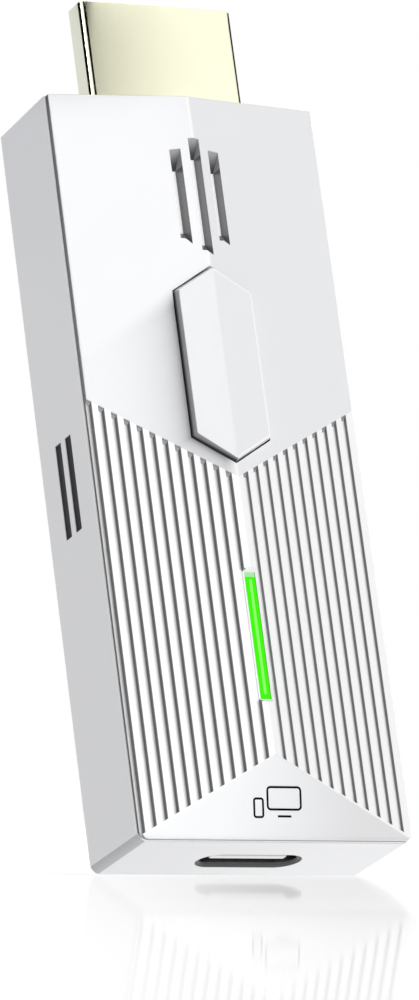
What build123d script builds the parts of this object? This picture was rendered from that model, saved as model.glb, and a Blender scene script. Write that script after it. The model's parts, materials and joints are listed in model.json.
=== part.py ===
from build123d import *
import math
import os

# Wireless display dongle, standing on its bottom end.
# X runs across the body, -Y is the ribbed front, +Z runs up the body towards the video plug.
# The origin is the middle of the bottom end, half way between the button's ridge and the back.

os.makedirs("parts", exist_ok=True)

# Driving dimensions of the shell, in millimetres
body_width = 24.2
side_depth = 9.6
ridge_rise = 1.38
edge_height = 0.55
cover_inset = 0.1
wall = 1.2
back_wall = 1.2
end_wall = 1.3
corner_radius = 0.8
back_round = 0.35

# The front, measured upwards from the bottom end
facet_height = 6.6
light_gap_below = 4.7
light_length = 10.65
light_width = 0.97
light_gap_above = 8.05
valley_rise = 6.64
button_gap_below = 1.25
button_length = 16.8
button_tip = 2.15
button_width = 6.84
vent_gap_below = 1.45
vent_length = 9.9
vent_step = 1.03
vent_width = 0.97
vent_pitch = 1.73
vent_depth = 1.3
vent_slant = 0.55
vent_ramp_high = 1.38
vent_ramp_low = 0.53
top_margin = 3.82

# Ribbed field
groove_pitch = 1.02
groove_width = 0.5
groove_foot_width = 0.3
groove_depth = 0.33
groove_ramp = 0.4
groove_gap_middle = 0.07
groove_gap_edge = 0.3
edge_land = 0.5

# Side slots
side_slot_width = 1.05
side_slot_length = 8.0
side_slot_pitch = 1.91
side_slot_from_back = 4.665
side_slot_low = 26.98

# Button and the switch under it
button_proud = 0.37
button_crown = 0.1
button_draft = 14
button_draft_height = 0.75
button_round = 0.12
button_gap = 0.12
button_rim = 0.78
button_flange = 0.42
button_post_radius = 1.2
button_travel = 0.25
switch_size = 4.5
switch_height = 0.85
switch_plate = 0.15
switch_cavity_radius = 1.75
switch_cavity_depth = 0.6
plunger_radius = 1.0
plunger_foot_radius = 1.4
plunger_proud = 0.4
dome_radius = 1.6
dome_shoulder_radius = 1.0
dome_shoulder_rise = 0.2
dome_rise = 0.3
dome_thick = 0.1
leg_width = 0.7
leg_reach = 0.8
leg_thick = 0.15

# Light bar
light_flange = 0.6
light_flange_thick = 0.5
lamp_count = 3
lamp_length = 1.6
lamp_width = 0.8
lamp_height = 0.6
lamp_air = 0.25

# Video plug, standard type A size
plug_width = 13.9
plug_height = 4.45
plug_exposed = 9.58
plug_inside = 4.8
plug_wall = 0.35
plug_from_back = 5.285
plug_straight = 2.34
plug_taper = 1.5
plug_round = 0.5
plug_mouth = 0.5
plug_slot_width = 11.3
plug_slot_depth = 5.2
plug_tab_length = 3.2
plug_tab_depth = 0.7
blade_width = 0.3
blade_thick = 0.15
blade_pitch = 1.0
blade_setback = 0.7
blade_end_room = 0.9
pad_length = 2.2

# Charging socket, standard type C size
socket_width = 8.94
socket_height = 3.16
socket_wall = 0.3
socket_length = 7.3
socket_recess = 0.1
socket_from_back = 4.07
socket_bevel = 0.2
tongue_width = 6.69
tongue_thick = 0.7
tongue_recess = 0.2
tongue_base = 1.6
strip_width = 0.28
strip_thick = 0.04
strip_length = 4.2
strip_pitch = 0.5
strips_per_face = 12
strip_setback = 0.5

# Main board and its fixing
board_thick = 1.0
board_edge_gap = 0.3
board_neck_gap = 0.3
boss_radius = 1.7
boss_inset = 2.4
screw_radius = 0.7
screw_length = 3.2
screw_head_radius = 1.4
screw_head_height = 0.7
screw_drive_radius = 0.5
screw_drive_depth = 0.35

# Snap fit between the two shells
lip_thick = 0.8
lip_depth = 1.4
lip_gap = 0.1
lip_end_gap = 3.0
hook_length = 4.0
hook_proud = 0.3
hook_height = 0.6
hook_setback = 0.25
hook_room = 0.06

# Electronics on the board
processor_size = 13.0
processor_height = 1.2
memory_width = 7.5
memory_length = 11.0
memory_height = 1.1
chip_gap = 1.2
can_room = 0.8
can_wall = 0.2
can_height = 2.0
can_lid_drop = 1.2
pad_side = 11.0
spreader_thick = 1.2
spreader_width = 18.0
spreader_length = 32.0
flash_width = 11.5
flash_length = 10.0
flash_height = 1.0
power_chip_size = 4.0
power_chip_height = 0.9
inductor_size = 3.2
inductor_height = 1.6
radio_size = 9.0
radio_board = 0.5
radio_height = 1.2
radio_lid = 0.2
antenna_width = 1.8
antenna_length = 5.2
antenna_height = 1.0
crystal_width = 2.0
crystal_length = 2.5
crystal_height = 0.6
choke_width = 1.25
choke_length = 1.0
choke_height = 0.5
choke_pitch = 2.2
small_length = 1.0
small_width = 0.5
small_height = 0.5
small_pitch = 1.1
part_gap = 0.8

# Named clearances
touch_gap = 0.02
slide_gap = 0.03
shell_gap = 0.06

# Levels through the thickness, front to back
total_depth = side_depth + ridge_rise + button_proud
back_y = total_depth / 2
side_front_y = back_y - side_depth
ridge_y = side_front_y - ridge_rise
seam_y = side_front_y + edge_height
floor_y = back_y - back_wall
groove_floor_y = ridge_y + groove_depth
button_top_y = ridge_y - button_proud
socket_y = back_y - socket_from_back
plug_y = back_y - plug_from_back
plug_front_y = plug_y - plug_height / 2
plug_back_y = plug_y + plug_height / 2
board_back_y = socket_y - socket_height / 2
board_front_y = board_back_y - board_thick
board_mid_y = board_back_y - board_thick / 2

# Levels up the body
cover_low = cover_inset
facet_top = cover_low + facet_height
light_low = facet_top + light_gap_below
light_high = light_low + light_length
light_mid = (light_low + light_high) / 2
valley_low = light_high + light_gap_above
button_low = valley_low + button_gap_below
button_high = button_low + button_length
button_mid = (button_low + button_high) / 2
vent_low = button_high + vent_gap_below
vent_high = vent_low + vent_length
body_length = vent_high + top_margin
cover_high = body_length - cover_inset
plug_end = body_length + plug_exposed
plug_root = body_length - plug_inside
insulator_end = plug_end - plug_mouth

# Half widths
half_width = body_width / 2
cover_half = half_width - cover_inset
inner_half = half_width - wall
board_half = inner_half - board_edge_gap
board_low = end_wall + board_edge_gap
board_high = plug_root - board_neck_gap
boss_x = board_half - boss_inset
boss_z = board_low + boss_inset
neck_half = plug_slot_width / 2 - touch_gap


def layer(depth):
    """Plane across the body at one depth: sketch x is X and sketch y is Z, extrusion goes forwards."""
    return Plane.XZ.offset(-depth)


def roof(x):
    """Depth of the roof-shaped front at a place across the body."""
    return ridge_y + ridge_rise * abs(x) / cover_half


def hip(x):
    """Height of the edge between the roof and the bottom facet."""
    return facet_top - facet_height * abs(x) / cover_half


def valley(x):
    """Height of the V-shaped upper end of the ribbed field."""
    return valley_low + valley_rise * abs(x) / cover_half


def groove_low(x):
    """Height of a groove's lower end, a little above the hip and more so towards the edges."""
    return hip(x) + groove_gap_middle + (groove_gap_edge - groove_gap_middle) * abs(x) / cover_half


# Outlines that more than one piece shares
with BuildSketch() as plug_outline:
    with BuildLine():
        Polyline(
            (-plug_width / 2, plug_front_y),
            (plug_width / 2, plug_front_y),
            (plug_width / 2, plug_front_y + plug_straight),
            (plug_width / 2 - plug_taper, plug_back_y),
            (-plug_width / 2 + plug_taper, plug_back_y),
            (-plug_width / 2, plug_front_y + plug_straight),
            close=True,
        )
    make_face()
    fillet(plug_outline.vertices(), plug_round)

with BuildSketch() as button_outline:
    with BuildLine():
        Polyline(
            (0, button_low),
            (button_width / 2, button_low + button_tip),
            (button_width / 2, button_high - button_tip),
            (0, button_high),
            (-button_width / 2, button_high - button_tip),
            (-button_width / 2, button_low + button_tip),
            close=True,
        )
    make_face()

# Front cover: a roof-shaped plate whose flat back lies on the housing's rim
groove_first = (light_width + groove_width) / 2
room_for_grooves = cover_half - edge_land - groove_first - groove_width / 2
right_grooves = math.floor(room_for_grooves / groove_pitch) + 1
left_grooves = right_grooves + 1
groove_places = [groove_first + groove_pitch * i for i in range(right_grooves)]
groove_places += [-groove_first - groove_pitch * i for i in range(left_grooves)]
open_edge = -cover_half - cover_inset
groove_pockets = []
for x in groove_places:
    left, right = max(x - groove_width / 2, open_edge), x + groove_width / 2
    foot_left, foot_right = max(x - groove_foot_width / 2, open_edge), x + groove_foot_width / 2
    opening = [
        (left, groove_low(left)),
        (right, groove_low(right)),
        (right, valley(right)),
        (left, valley(left)),
    ]
    foot = [
        (foot_left, groove_low(foot_left)),
        (foot_right, groove_low(foot_right)),
        (foot_right, valley(foot_right) - groove_ramp),
        (foot_left, valley(foot_left) - groove_ramp),
    ]
    groove_pockets.append((opening, foot, roof(x), groove_depth))

# Blind vent recesses, the middle one longer: slanted lower ends, and ramps down to the floor at both ends
vent_pockets = []
for i in (-1, 0, 1):
    left, right = i * vent_pitch - vent_width / 2, i * vent_pitch + vent_width / 2
    low = vent_low + vent_step * abs(i)
    high = vent_high - vent_step * abs(i)
    slant = vent_slant * vent_width / 2
    foot_low, foot_high = low + slant + vent_ramp_low, high - vent_ramp_high
    opening = [(left, low + slant), (right, low - slant), (right, high), (left, high)]
    foot = [(left, foot_low), (right, foot_low), (right, foot_high), (left, foot_high)]
    vent_pockets.append((opening, foot, roof(max(abs(left), abs(right))), vent_depth))

hook_places = [lip_end_gap + hook_length, body_length / 2, body_length - lip_end_gap - hook_length]
lip_outer = inner_half - lip_gap
hook_y = seam_y + lip_depth - hook_setback - hook_height

with BuildPart() as front_cover:
    with BuildSketch(Plane.XY.offset(cover_low)):
        with BuildLine():
            Polyline(
                (-cover_half, seam_y),
                (cover_half, seam_y),
                (cover_half, side_front_y),
                (0, ridge_y),
                (-cover_half, side_front_y),
                close=True,
            )
        make_face()
    extrude(amount=cover_high - cover_low)
    bottom_corners = front_cover.edges().filter_by(Axis.Y).group_by(Axis.Z)[0]
    fillet(bottom_corners, corner_radius - cover_inset)
    # Grooves run from the V down towards the hip lines, and the three vent recesses stand above the button
    for opening, foot, level, depth in groove_pockets + vent_pockets:
        with BuildSketch(layer(level)) as mouth_sketch:
            with BuildLine():
                Polyline(*opening, close=True)
            make_face()
        with BuildSketch(layer(level + depth)):
            with BuildLine():
                Polyline(*foot, close=True)
            make_face()
        loft(ruled=True, mode=Mode.SUBTRACT)
        with BuildSketch(layer(level)):
            add(mouth_sketch.sketch)
        extrude(amount=total_depth, mode=Mode.SUBTRACT)
    # The flat facet takes the ridge away above the bottom end
    with BuildSketch(Plane.YZ):
        with BuildLine():
            Polyline(
                (side_front_y, cover_low),
                (ridge_y, facet_top),
                (ridge_y - ridge_rise, facet_top),
                (ridge_y - ridge_rise, cover_low),
                close=True,
            )
        make_face()
    extrude(amount=body_width, both=True, mode=Mode.SUBTRACT)
    # Channel that lays the light bar level with the groove floors, with sloped ends
    with BuildSketch(Plane.YZ):
        with BuildLine():
            Polyline(
                (groove_floor_y, light_low),
                (groove_floor_y, light_high),
                (ridge_y, light_high + groove_depth),
                (ridge_y - groove_depth, light_high + groove_depth),
                (ridge_y - groove_depth, light_low - groove_depth),
                (ridge_y, light_low - groove_depth),
                close=True,
            )
        make_face()
    extrude(amount=groove_first, both=True, mode=Mode.SUBTRACT)
    with BuildSketch(layer(seam_y)):
        with Locations((0, light_mid)):
            Rectangle(light_width, light_length)
    extrude(amount=total_depth, mode=Mode.SUBTRACT)
    # Button opening
    with BuildSketch(layer(seam_y)):
        add(button_outline.sketch)
        offset(amount=button_gap, kind=Kind.INTERSECTION)
    extrude(amount=total_depth, mode=Mode.SUBTRACT)
    # Locating lips inside the long walls, with snap hooks
    with BuildSketch(layer(seam_y)):
        for side in (-1, 1):
            with Locations((side * (lip_outer - lip_thick / 2), body_length / 2)):
                Rectangle(lip_thick, body_length - 2 * (end_wall + lip_end_gap))
    extrude(amount=-lip_depth)
    for z in hook_places:
        for side in (-1, 1):
            with BuildSketch(Plane.XY.offset(z - hook_length / 2)):
                with BuildLine():
                    Polyline(
                        (side * (lip_outer - lip_thick / 2), hook_y),
                        (side * (lip_outer + hook_proud), hook_y),
                        (side * lip_outer, hook_y + hook_height),
                        (side * (lip_outer - lip_thick / 2), hook_y + hook_height),
                        close=True,
                    )
                make_face()
            extrude(amount=hook_length)
front_cover.part.label = "front_cover"
export_step(front_cover.part, "parts/front_cover.step")

# Rear housing: back, sides and both ends in one tray
with BuildPart() as rear_housing:
    with BuildSketch(layer(back_y)) as tray_outline:
        with Locations((0, body_length / 2)):
            Rectangle(body_width, body_length)
        fillet(tray_outline.vertices().group_by(Axis.Y)[0], corner_radius)
    extrude(amount=back_y - seam_y)
    fillet(rear_housing.faces().sort_by(Axis.Y)[-1].edges(), back_round)
    with BuildSketch(layer(floor_y)):
        with Locations((0, body_length / 2)):
            Rectangle(2 * inner_half, body_length - 2 * end_wall)
    extrude(amount=floor_y - seam_y, mode=Mode.SUBTRACT)
    with BuildSketch(Plane.XY.offset(body_length)):
        add(plug_outline.sketch)
        offset(amount=shell_gap)
    extrude(amount=-end_wall, mode=Mode.SUBTRACT)
    with BuildSketch(Plane.XY):
        with Locations((0, socket_y)):
            SlotOverall(socket_width + 2 * touch_gap, socket_height + 2 * touch_gap)
    extrude(amount=end_wall, mode=Mode.SUBTRACT)
    with BuildSketch(Plane.YZ):
        for i in (0, 1):
            slot_y = back_y - side_slot_from_back + side_slot_pitch * (0.5 - i)
            with Locations((slot_y, side_slot_low + side_slot_length / 2)):
                Rectangle(side_slot_width, side_slot_length)
    extrude(amount=body_width, both=True, mode=Mode.SUBTRACT)
    # Recesses that the cover's hooks snap into
    for z in hook_places:
        with BuildSketch(Plane.XY.offset(z - hook_length / 2 - hook_room)):
            with Locations((0, hook_y + hook_height / 2)):
                Rectangle(2 * (lip_outer + hook_proud + hook_room), hook_height + 2 * hook_room)
        extrude(amount=hook_length + 2 * hook_room, mode=Mode.SUBTRACT)
    # Bosses: two take screws, two near the plug only carry the board
    with BuildSketch(layer(floor_y)):
        for x in (-boss_x, boss_x):
            with Locations((x, boss_z), (x, board_high - boss_inset)):
                Circle(boss_radius)
    extrude(amount=floor_y - board_back_y)
    with BuildSketch(layer(board_back_y)):
        with Locations((-boss_x, boss_z), (boss_x, boss_z)):
            Circle(screw_radius + touch_gap)
    extrude(amount=-(screw_length - board_thick + touch_gap), mode=Mode.SUBTRACT)
rear_housing.part.label = "rear_housing"
export_step(rear_housing.part, "parts/rear_housing.step")

# Button cap: drafted six-sided cap with a low crown, a rim behind the cover and a post to the switch
flange_front_y = seam_y + touch_gap
flange_back_y = flange_front_y + button_flange
draft_y = button_top_y + button_draft_height
switch_top_y = board_front_y - switch_height - switch_plate
plunger_tip_y = switch_top_y - plunger_proud
post_end_y = plunger_tip_y - slide_gap

with BuildPart() as button_cap:
    with BuildSketch(layer(flange_front_y)):
        add(button_outline.sketch)
        offset(amount=button_rim, kind=Kind.INTERSECTION)
    extrude(amount=-button_flange)
    with BuildSketch(layer(flange_front_y)):
        add(button_outline.sketch)
    extrude(amount=flange_front_y - draft_y)
    with BuildSketch(layer(draft_y)):
        add(button_outline.sketch)
    extrude(amount=button_draft_height, taper=button_draft)
    with BuildSketch(Plane.XY.offset(button_low)):
        with BuildLine():
            Polyline(
                (0, button_top_y),
                (button_width / 2, button_top_y + button_crown),
                (button_width / 2, button_top_y - button_crown),
                (-button_width / 2, button_top_y - button_crown),
                (-button_width / 2, button_top_y + button_crown),
                close=True,
            )
        make_face()
    extrude(amount=button_length, mode=Mode.SUBTRACT)
    crown_faces = button_cap.faces().sort_by(Axis.Y)[:2]
    crown_ridge = crown_faces.edges().filter_by(Axis.Z).filter_by(lambda e: abs(e.center().X) < touch_gap)
    crown_rim = [e for e in crown_faces.edges() if e not in crown_ridge]
    fillet(crown_rim, button_round)
    with BuildSketch(layer(flange_back_y)):
        with Locations((0, button_mid)):
            Circle(button_post_radius)
    extrude(amount=flange_back_y - post_end_y)
button_cap.part.label = "button_cap"
export_step(button_cap.part, "parts/button_cap.step")

# Push switch under the button
cavity_floor_y = switch_top_y + switch_plate + switch_cavity_depth
dome_top_y = cavity_floor_y - dome_rise
foot_front_y = switch_top_y + switch_plate + touch_gap
foot_back_y = dome_top_y - touch_gap

with BuildPart() as switch_base:
    with BuildSketch(layer(board_front_y)):
        with Locations((0, button_mid)):
            Rectangle(switch_size, switch_size)
    extrude(amount=switch_height)
    with BuildSketch(layer(cavity_floor_y)):
        with Locations((0, button_mid)):
            Circle(switch_cavity_radius)
    extrude(amount=switch_cavity_depth, mode=Mode.SUBTRACT)
switch_base.part.label = "switch_base"
export_step(switch_base.part, "parts/switch_base.step")

with BuildPart() as switch_cover:
    with BuildSketch(layer(switch_top_y + switch_plate)):
        with Locations((0, button_mid)):
            Rectangle(switch_size, switch_size)
            Circle(plunger_radius + 2 * slide_gap, mode=Mode.SUBTRACT)
    extrude(amount=switch_plate)
switch_cover.part.label = "switch_cover"
export_step(switch_cover.part, "parts/switch_cover.step")

with BuildPart() as switch_terminals:
    with BuildSketch(layer(board_front_y)):
        for side in (-1, 1):
            with Locations((side * (switch_size + leg_reach) / 2, button_mid)):
                with GridLocations(leg_reach, switch_size - leg_width, 1, 2):
                    Rectangle(leg_reach, leg_width)
    extrude(amount=leg_thick)
switch_terminals.part.label = "switch_terminals"
export_step(switch_terminals.part, "parts/switch_terminals.step")

with BuildPart() as switch_dome:
    shoulder_y = cavity_floor_y - dome_shoulder_rise
    rim_width = dome_thick * (dome_radius - dome_shoulder_radius) / dome_shoulder_rise
    with BuildSketch(Plane.YZ):
        with BuildLine():
            Polyline(
                (cavity_floor_y, button_mid + dome_radius),
                (shoulder_y, button_mid + dome_shoulder_radius),
                (dome_top_y, button_mid),
                (dome_top_y + dome_thick, button_mid),
                (shoulder_y + dome_thick, button_mid + dome_shoulder_radius),
                (cavity_floor_y, button_mid + dome_radius - rim_width),
                close=True,
            )
        make_face()
    revolve(axis=Axis((0, 0, button_mid), (0, 1, 0)))
switch_dome.part.label = "switch_dome"
export_step(switch_dome.part, "parts/switch_dome.step")

with BuildPart() as switch_plunger:
    with BuildSketch(layer(foot_back_y)):
        with Locations((0, button_mid)):
            Circle(plunger_foot_radius)
    extrude(amount=foot_back_y - foot_front_y)
    with BuildSketch(layer(foot_front_y)):
        with Locations((0, button_mid)):
            Circle(plunger_radius)
    extrude(amount=foot_front_y - plunger_tip_y)
switch_plunger.part.label = "switch_plunger"
export_step(switch_plunger.part, "parts/switch_plunger.step")

# Light bar: a clear pipe through the cover, glued behind it by its flange
lamp_front_y = board_front_y - lamp_height
light_back_y = lamp_front_y - lamp_air

with BuildPart() as light_bar:
    with BuildSketch(layer(light_back_y)):
        with Locations((0, light_mid)):
            Rectangle(light_width - 2 * touch_gap, light_length - 2 * touch_gap)
    extrude(amount=light_back_y - groove_floor_y)
    with BuildSketch(layer(seam_y)):
        with Locations((0, light_mid)):
            Rectangle(light_width + 2 * light_flange, light_length + 2 * light_flange)
    extrude(amount=-light_flange_thick)
light_bar.part.label = "light_bar"
export_step(light_bar.part, "parts/light_bar.step")

with BuildPart() as status_lamps:
    with BuildSketch(layer(board_front_y)):
        with Locations((0, light_mid)):
            with GridLocations(lamp_width, light_length / lamp_count, 1, lamp_count):
                Rectangle(lamp_width, lamp_length)
    extrude(amount=lamp_height)
status_lamps.part.label = "status_lamps"
export_step(status_lamps.part, "parts/status_lamps.step")

# Video plug: plated shell round a moulded insulator with two rows of blades
slot_height = board_thick + 2 * blade_thick
pocket_high = plug_root + pad_length + board_neck_gap
slot_low = insulator_end - plug_slot_depth
window_size = plug_taper
window_z = body_length + plug_exposed / 2
blade_low = plug_root + board_neck_gap
blade_high = insulator_end - blade_setback
blades_front = math.floor((plug_slot_width - 2 * blade_end_room) / blade_pitch) + 1
blades_back = blades_front - 1
blade_rows = [
    (board_front_y - blade_thick / 2, blades_front),
    (board_back_y + blade_thick / 2, blades_back),
]

with BuildPart() as plug_shell:
    with BuildSketch(Plane.XY.offset(plug_root)):
        add(plug_outline.sketch)
    extrude(amount=plug_end - plug_root)
    with BuildSketch(Plane.XY.offset(plug_root)):
        add(plug_outline.sketch)
        offset(amount=-plug_wall)
    extrude(amount=plug_end - plug_root, mode=Mode.SUBTRACT)
    with BuildSketch(Plane.XY.offset(plug_root)):
        for side in (-1, 1):
            with Locations((side * (plug_width - plug_wall) / 2, board_front_y - plug_tab_depth / 2)):
                Rectangle(plug_wall, plug_tab_depth)
    extrude(amount=-plug_tab_length)
    # Two latch windows in the narrow back face
    with BuildSketch(layer(plug_y)):
        with Locations((0, window_z)):
            with GridLocations(plug_width / 3, window_size, 2, 1):
                Rectangle(window_size, window_size)
    extrude(amount=-plug_height, mode=Mode.SUBTRACT)
plug_shell.part.label = "plug_shell"
export_step(plug_shell.part, "parts/plug_shell.step")

with BuildPart() as plug_insulator:
    with BuildSketch(Plane.XY.offset(plug_root)):
        add(plug_outline.sketch)
        offset(amount=-plug_wall - touch_gap)
    extrude(amount=insulator_end - plug_root)
    with BuildSketch(Plane.XY.offset(slot_low)):
        with Locations((0, board_mid_y)):
            Rectangle(plug_slot_width, slot_height)
    extrude(amount=plug_slot_depth, mode=Mode.SUBTRACT)
    with BuildSketch(Plane.XY.offset(plug_root)):
        with Locations((0, board_mid_y)):
            Rectangle(plug_slot_width, slot_height)
    extrude(amount=pocket_high - plug_root, mode=Mode.SUBTRACT)
    with BuildSketch(Plane.XY.offset(pocket_high)):
        for row_y, count in blade_rows:
            with Locations((0, row_y)):
                with GridLocations(blade_pitch, blade_thick, count, 1):
                    Rectangle(blade_width + 2 * touch_gap, blade_thick)
    extrude(amount=slot_low - pocket_high, mode=Mode.SUBTRACT)
plug_insulator.part.label = "plug_insulator"
export_step(plug_insulator.part, "parts/plug_insulator.step")

with BuildPart() as plug_contacts:
    with BuildSketch(Plane.XY.offset(blade_low)):
        for row_y, count in blade_rows:
            with Locations((0, row_y)):
                with GridLocations(blade_pitch, blade_thick, count, 1):
                    Rectangle(blade_width, blade_thick)
    extrude(amount=blade_high - blade_low)
plug_contacts.part.label = "plug_contacts"
export_step(plug_contacts.part, "parts/plug_contacts.step")

# Charging socket: steel shell, tongue and contact strips
socket_low = socket_recess
socket_high = socket_low + socket_length
tongue_low = socket_low + tongue_recess
socket_inner_width = socket_width - 2 * socket_wall
socket_inner_height = socket_height - 2 * socket_wall

with BuildPart() as socket_shell:
    with BuildSketch(Plane.XY.offset(socket_low)):
        with Locations((0, socket_y)):
            SlotOverall(socket_width, socket_height)
            SlotOverall(socket_inner_width, socket_inner_height, mode=Mode.SUBTRACT)
    extrude(amount=socket_length)
    mouth = socket_shell.faces().sort_by(Axis.Z)[0].inner_wires()[0]
    chamfer(mouth.edges(), socket_bevel)
socket_shell.part.label = "socket_shell"
export_step(socket_shell.part, "parts/socket_shell.step")

with BuildPart() as socket_tongue:
    with BuildSketch(Plane.XY.offset(tongue_low)):
        with Locations((0, socket_y)):
            Rectangle(tongue_width, tongue_thick)
    extrude(amount=socket_high - tongue_low)
    with BuildSketch(Plane.XY.offset(socket_high)):
        with Locations((0, socket_y)):
            SlotOverall(socket_inner_width - 2 * touch_gap, socket_inner_height - 2 * touch_gap)
    extrude(amount=-tongue_base)
socket_tongue.part.label = "socket_tongue"
export_step(socket_tongue.part, "parts/socket_tongue.step")

with BuildPart() as socket_contacts:
    with BuildSketch(Plane.XY.offset(tongue_low + strip_setback)):
        for side in (-1, 1):
            with Locations((0, socket_y + side * (tongue_thick + strip_thick) / 2)):
                with GridLocations(strip_pitch, strip_thick, strips_per_face, 1):
                    Rectangle(strip_width, strip_thick)
    extrude(amount=strip_length)
socket_contacts.part.label = "socket_contacts"
export_step(socket_contacts.part, "parts/socket_contacts.step")

# Main board with a neck that reaches into the plug, and its two screws
neck_high = plug_root + pad_length

with BuildPart() as main_board:
    with BuildSketch(layer(board_back_y)):
        with Locations((0, (board_low + board_high) / 2)):
            Rectangle(2 * board_half, board_high - board_low)
        with Locations((0, (board_high + neck_high) / 2)):
            Rectangle(2 * neck_half, neck_high - board_high)
        with Locations((-boss_x, boss_z), (boss_x, boss_z)):
            Circle(screw_radius + shell_gap, mode=Mode.SUBTRACT)
    extrude(amount=board_thick)
main_board.part.label = "main_board"
export_step(main_board.part, "parts/main_board.step")

with BuildPart() as board_screws:
    with BuildSketch(layer(board_front_y)):
        with Locations((-boss_x, boss_z), (boss_x, boss_z)):
            Circle(screw_head_radius)
    extrude(amount=screw_head_height)
    with BuildSketch(layer(board_front_y)):
        with Locations((-boss_x, boss_z), (boss_x, boss_z)):
            Circle(screw_radius)
    extrude(amount=-screw_length)
    with BuildSketch(layer(board_front_y - screw_head_height)):
        with Locations((-boss_x, boss_z), (boss_x, boss_z)):
            RegularPolygon(screw_drive_radius, 6)
    extrude(amount=-screw_drive_depth, mode=Mode.SUBTRACT)
board_screws.part.label = "board_screws"
export_step(board_screws.part, "parts/board_screws.step")

# Back of the board, upwards from the socket: flash and power, then the shielded processor and memory
flash_low = socket_high + part_gap
flash_x = part_gap + flash_width / 2 - board_half
power_x = board_half - part_gap - power_chip_size / 2
inductor_low = flash_low + power_chip_size + part_gap
power_high = inductor_low + 2 * inductor_size + part_gap
can_low = max(flash_low + flash_length, power_high) + part_gap
can_width = 2 * memory_width + chip_gap + 2 * (can_room + can_wall)
memory_low = can_low + can_wall + can_room
processor_low = memory_low + memory_length + chip_gap
processor_mid = processor_low + processor_size / 2
can_high = processor_low + processor_size + can_room + can_wall
can_mid = (can_low + can_high) / 2
can_top_y = board_back_y + can_height
lid_top_y = can_top_y + can_wall
spreader_y = floor_y - spreader_thick

with BuildPart() as flash_chip:
    with BuildSketch(layer(board_back_y)):
        with Locations((flash_x, flash_low + flash_length / 2)):
            Rectangle(flash_width, flash_length)
    extrude(amount=-flash_height)
flash_chip.part.label = "flash_chip"
export_step(flash_chip.part, "parts/flash_chip.step")

with BuildPart() as power_chip:
    with BuildSketch(layer(board_back_y)):
        with Locations((power_x, flash_low + power_chip_size / 2)):
            Rectangle(power_chip_size, power_chip_size)
    extrude(amount=-power_chip_height)
power_chip.part.label = "power_chip"
export_step(power_chip.part, "parts/power_chip.step")

with BuildPart() as power_inductors:
    with BuildSketch(layer(board_back_y)):
        with Locations((power_x, (inductor_low + power_high) / 2)):
            with GridLocations(inductor_size, inductor_size + part_gap, 1, 2):
                Rectangle(inductor_size, inductor_size)
    extrude(amount=-inductor_height)
power_inductors.part.label = "power_inductors"
export_step(power_inductors.part, "parts/power_inductors.step")

with BuildPart() as memory_chips:
    with BuildSketch(layer(board_back_y)):
        with Locations((0, memory_low + memory_length / 2)):
            with GridLocations(memory_width + chip_gap, memory_length, 2, 1):
                Rectangle(memory_width, memory_length)
    extrude(amount=-memory_height)
memory_chips.part.label = "memory_chips"
export_step(memory_chips.part, "parts/memory_chips.step")

with BuildPart() as processor_chip:
    with BuildSketch(layer(board_back_y)):
        with Locations((0, processor_mid)):
            Rectangle(processor_size, processor_size)
    extrude(amount=-processor_height)
processor_chip.part.label = "processor_chip"
export_step(processor_chip.part, "parts/processor_chip.step")

with BuildPart() as shield_frame:
    with BuildSketch(layer(board_back_y)):
        with Locations((0, can_mid)):
            Rectangle(can_width, can_high - can_low)
            Rectangle(can_width - 2 * can_wall, can_high - can_low - 2 * can_wall, mode=Mode.SUBTRACT)
    extrude(amount=-can_height)
shield_frame.part.label = "shield_frame"
export_step(shield_frame.part, "parts/shield_frame.step")

with BuildPart() as shield_lid:
    with BuildSketch(layer(lid_top_y)):
        with Locations((0, can_mid)):
            grow = 2 * (can_wall + touch_gap)
            Rectangle(can_width + grow, can_high - can_low + grow)
    extrude(amount=can_wall + can_lid_drop)
    with BuildSketch(layer(can_top_y)):
        with Locations((0, can_mid)):
            Rectangle(can_width + 2 * touch_gap, can_high - can_low + 2 * touch_gap)
    extrude(amount=can_lid_drop, mode=Mode.SUBTRACT)
shield_lid.part.label = "shield_lid"
export_step(shield_lid.part, "parts/shield_lid.step")

with BuildPart() as thermal_pads:
    with BuildSketch(layer(board_back_y + processor_height)):
        with Locations((0, processor_mid)):
            Rectangle(pad_side, pad_side)
    extrude(amount=-(can_height - processor_height))
    with BuildSketch(layer(lid_top_y)):
        with Locations((0, processor_mid)):
            Rectangle(pad_side, pad_side)
    extrude(amount=-(spreader_y - lid_top_y))
thermal_pads.part.label = "thermal_pads"
export_step(thermal_pads.part, "parts/thermal_pads.step")

with BuildPart() as heat_spreader:
    with BuildSketch(layer(floor_y)):
        with Locations((0, can_mid)):
            Rectangle(spreader_width, spreader_length)
    extrude(amount=spreader_thick)
heat_spreader.part.label = "heat_spreader"
export_step(heat_spreader.part, "parts/heat_spreader.step")

# Front of the board: antennas, radio, crystals, chokes and small parts
antenna_x = board_half - antenna_width / 2 - board_edge_gap
antenna_low = boss_z + screw_head_radius + part_gap
radio_low = light_high + light_flange + part_gap
radio_mid = radio_low + radio_size / 2
crystal_x = radio_size / 2 + part_gap + crystal_width / 2
choke_z = board_high - plug_tab_length - part_gap
small_parts_z = (button_mid + switch_size / 2 + choke_z) / 2

with BuildPart() as chip_antennas:
    with BuildSketch(layer(board_front_y)):
        with Locations((0, antenna_low + antenna_length / 2)):
            with GridLocations(2 * antenna_x, antenna_length, 2, 1):
                Rectangle(antenna_width, antenna_length)
    extrude(amount=antenna_height)
chip_antennas.part.label = "chip_antennas"
export_step(chip_antennas.part, "parts/chip_antennas.step")

with BuildPart() as radio_module:
    with BuildSketch(layer(board_front_y)):
        with Locations((0, radio_mid)):
            Rectangle(radio_size, radio_size)
    extrude(amount=radio_board)
radio_module.part.label = "radio_module"
export_step(radio_module.part, "parts/radio_module.step")

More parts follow.
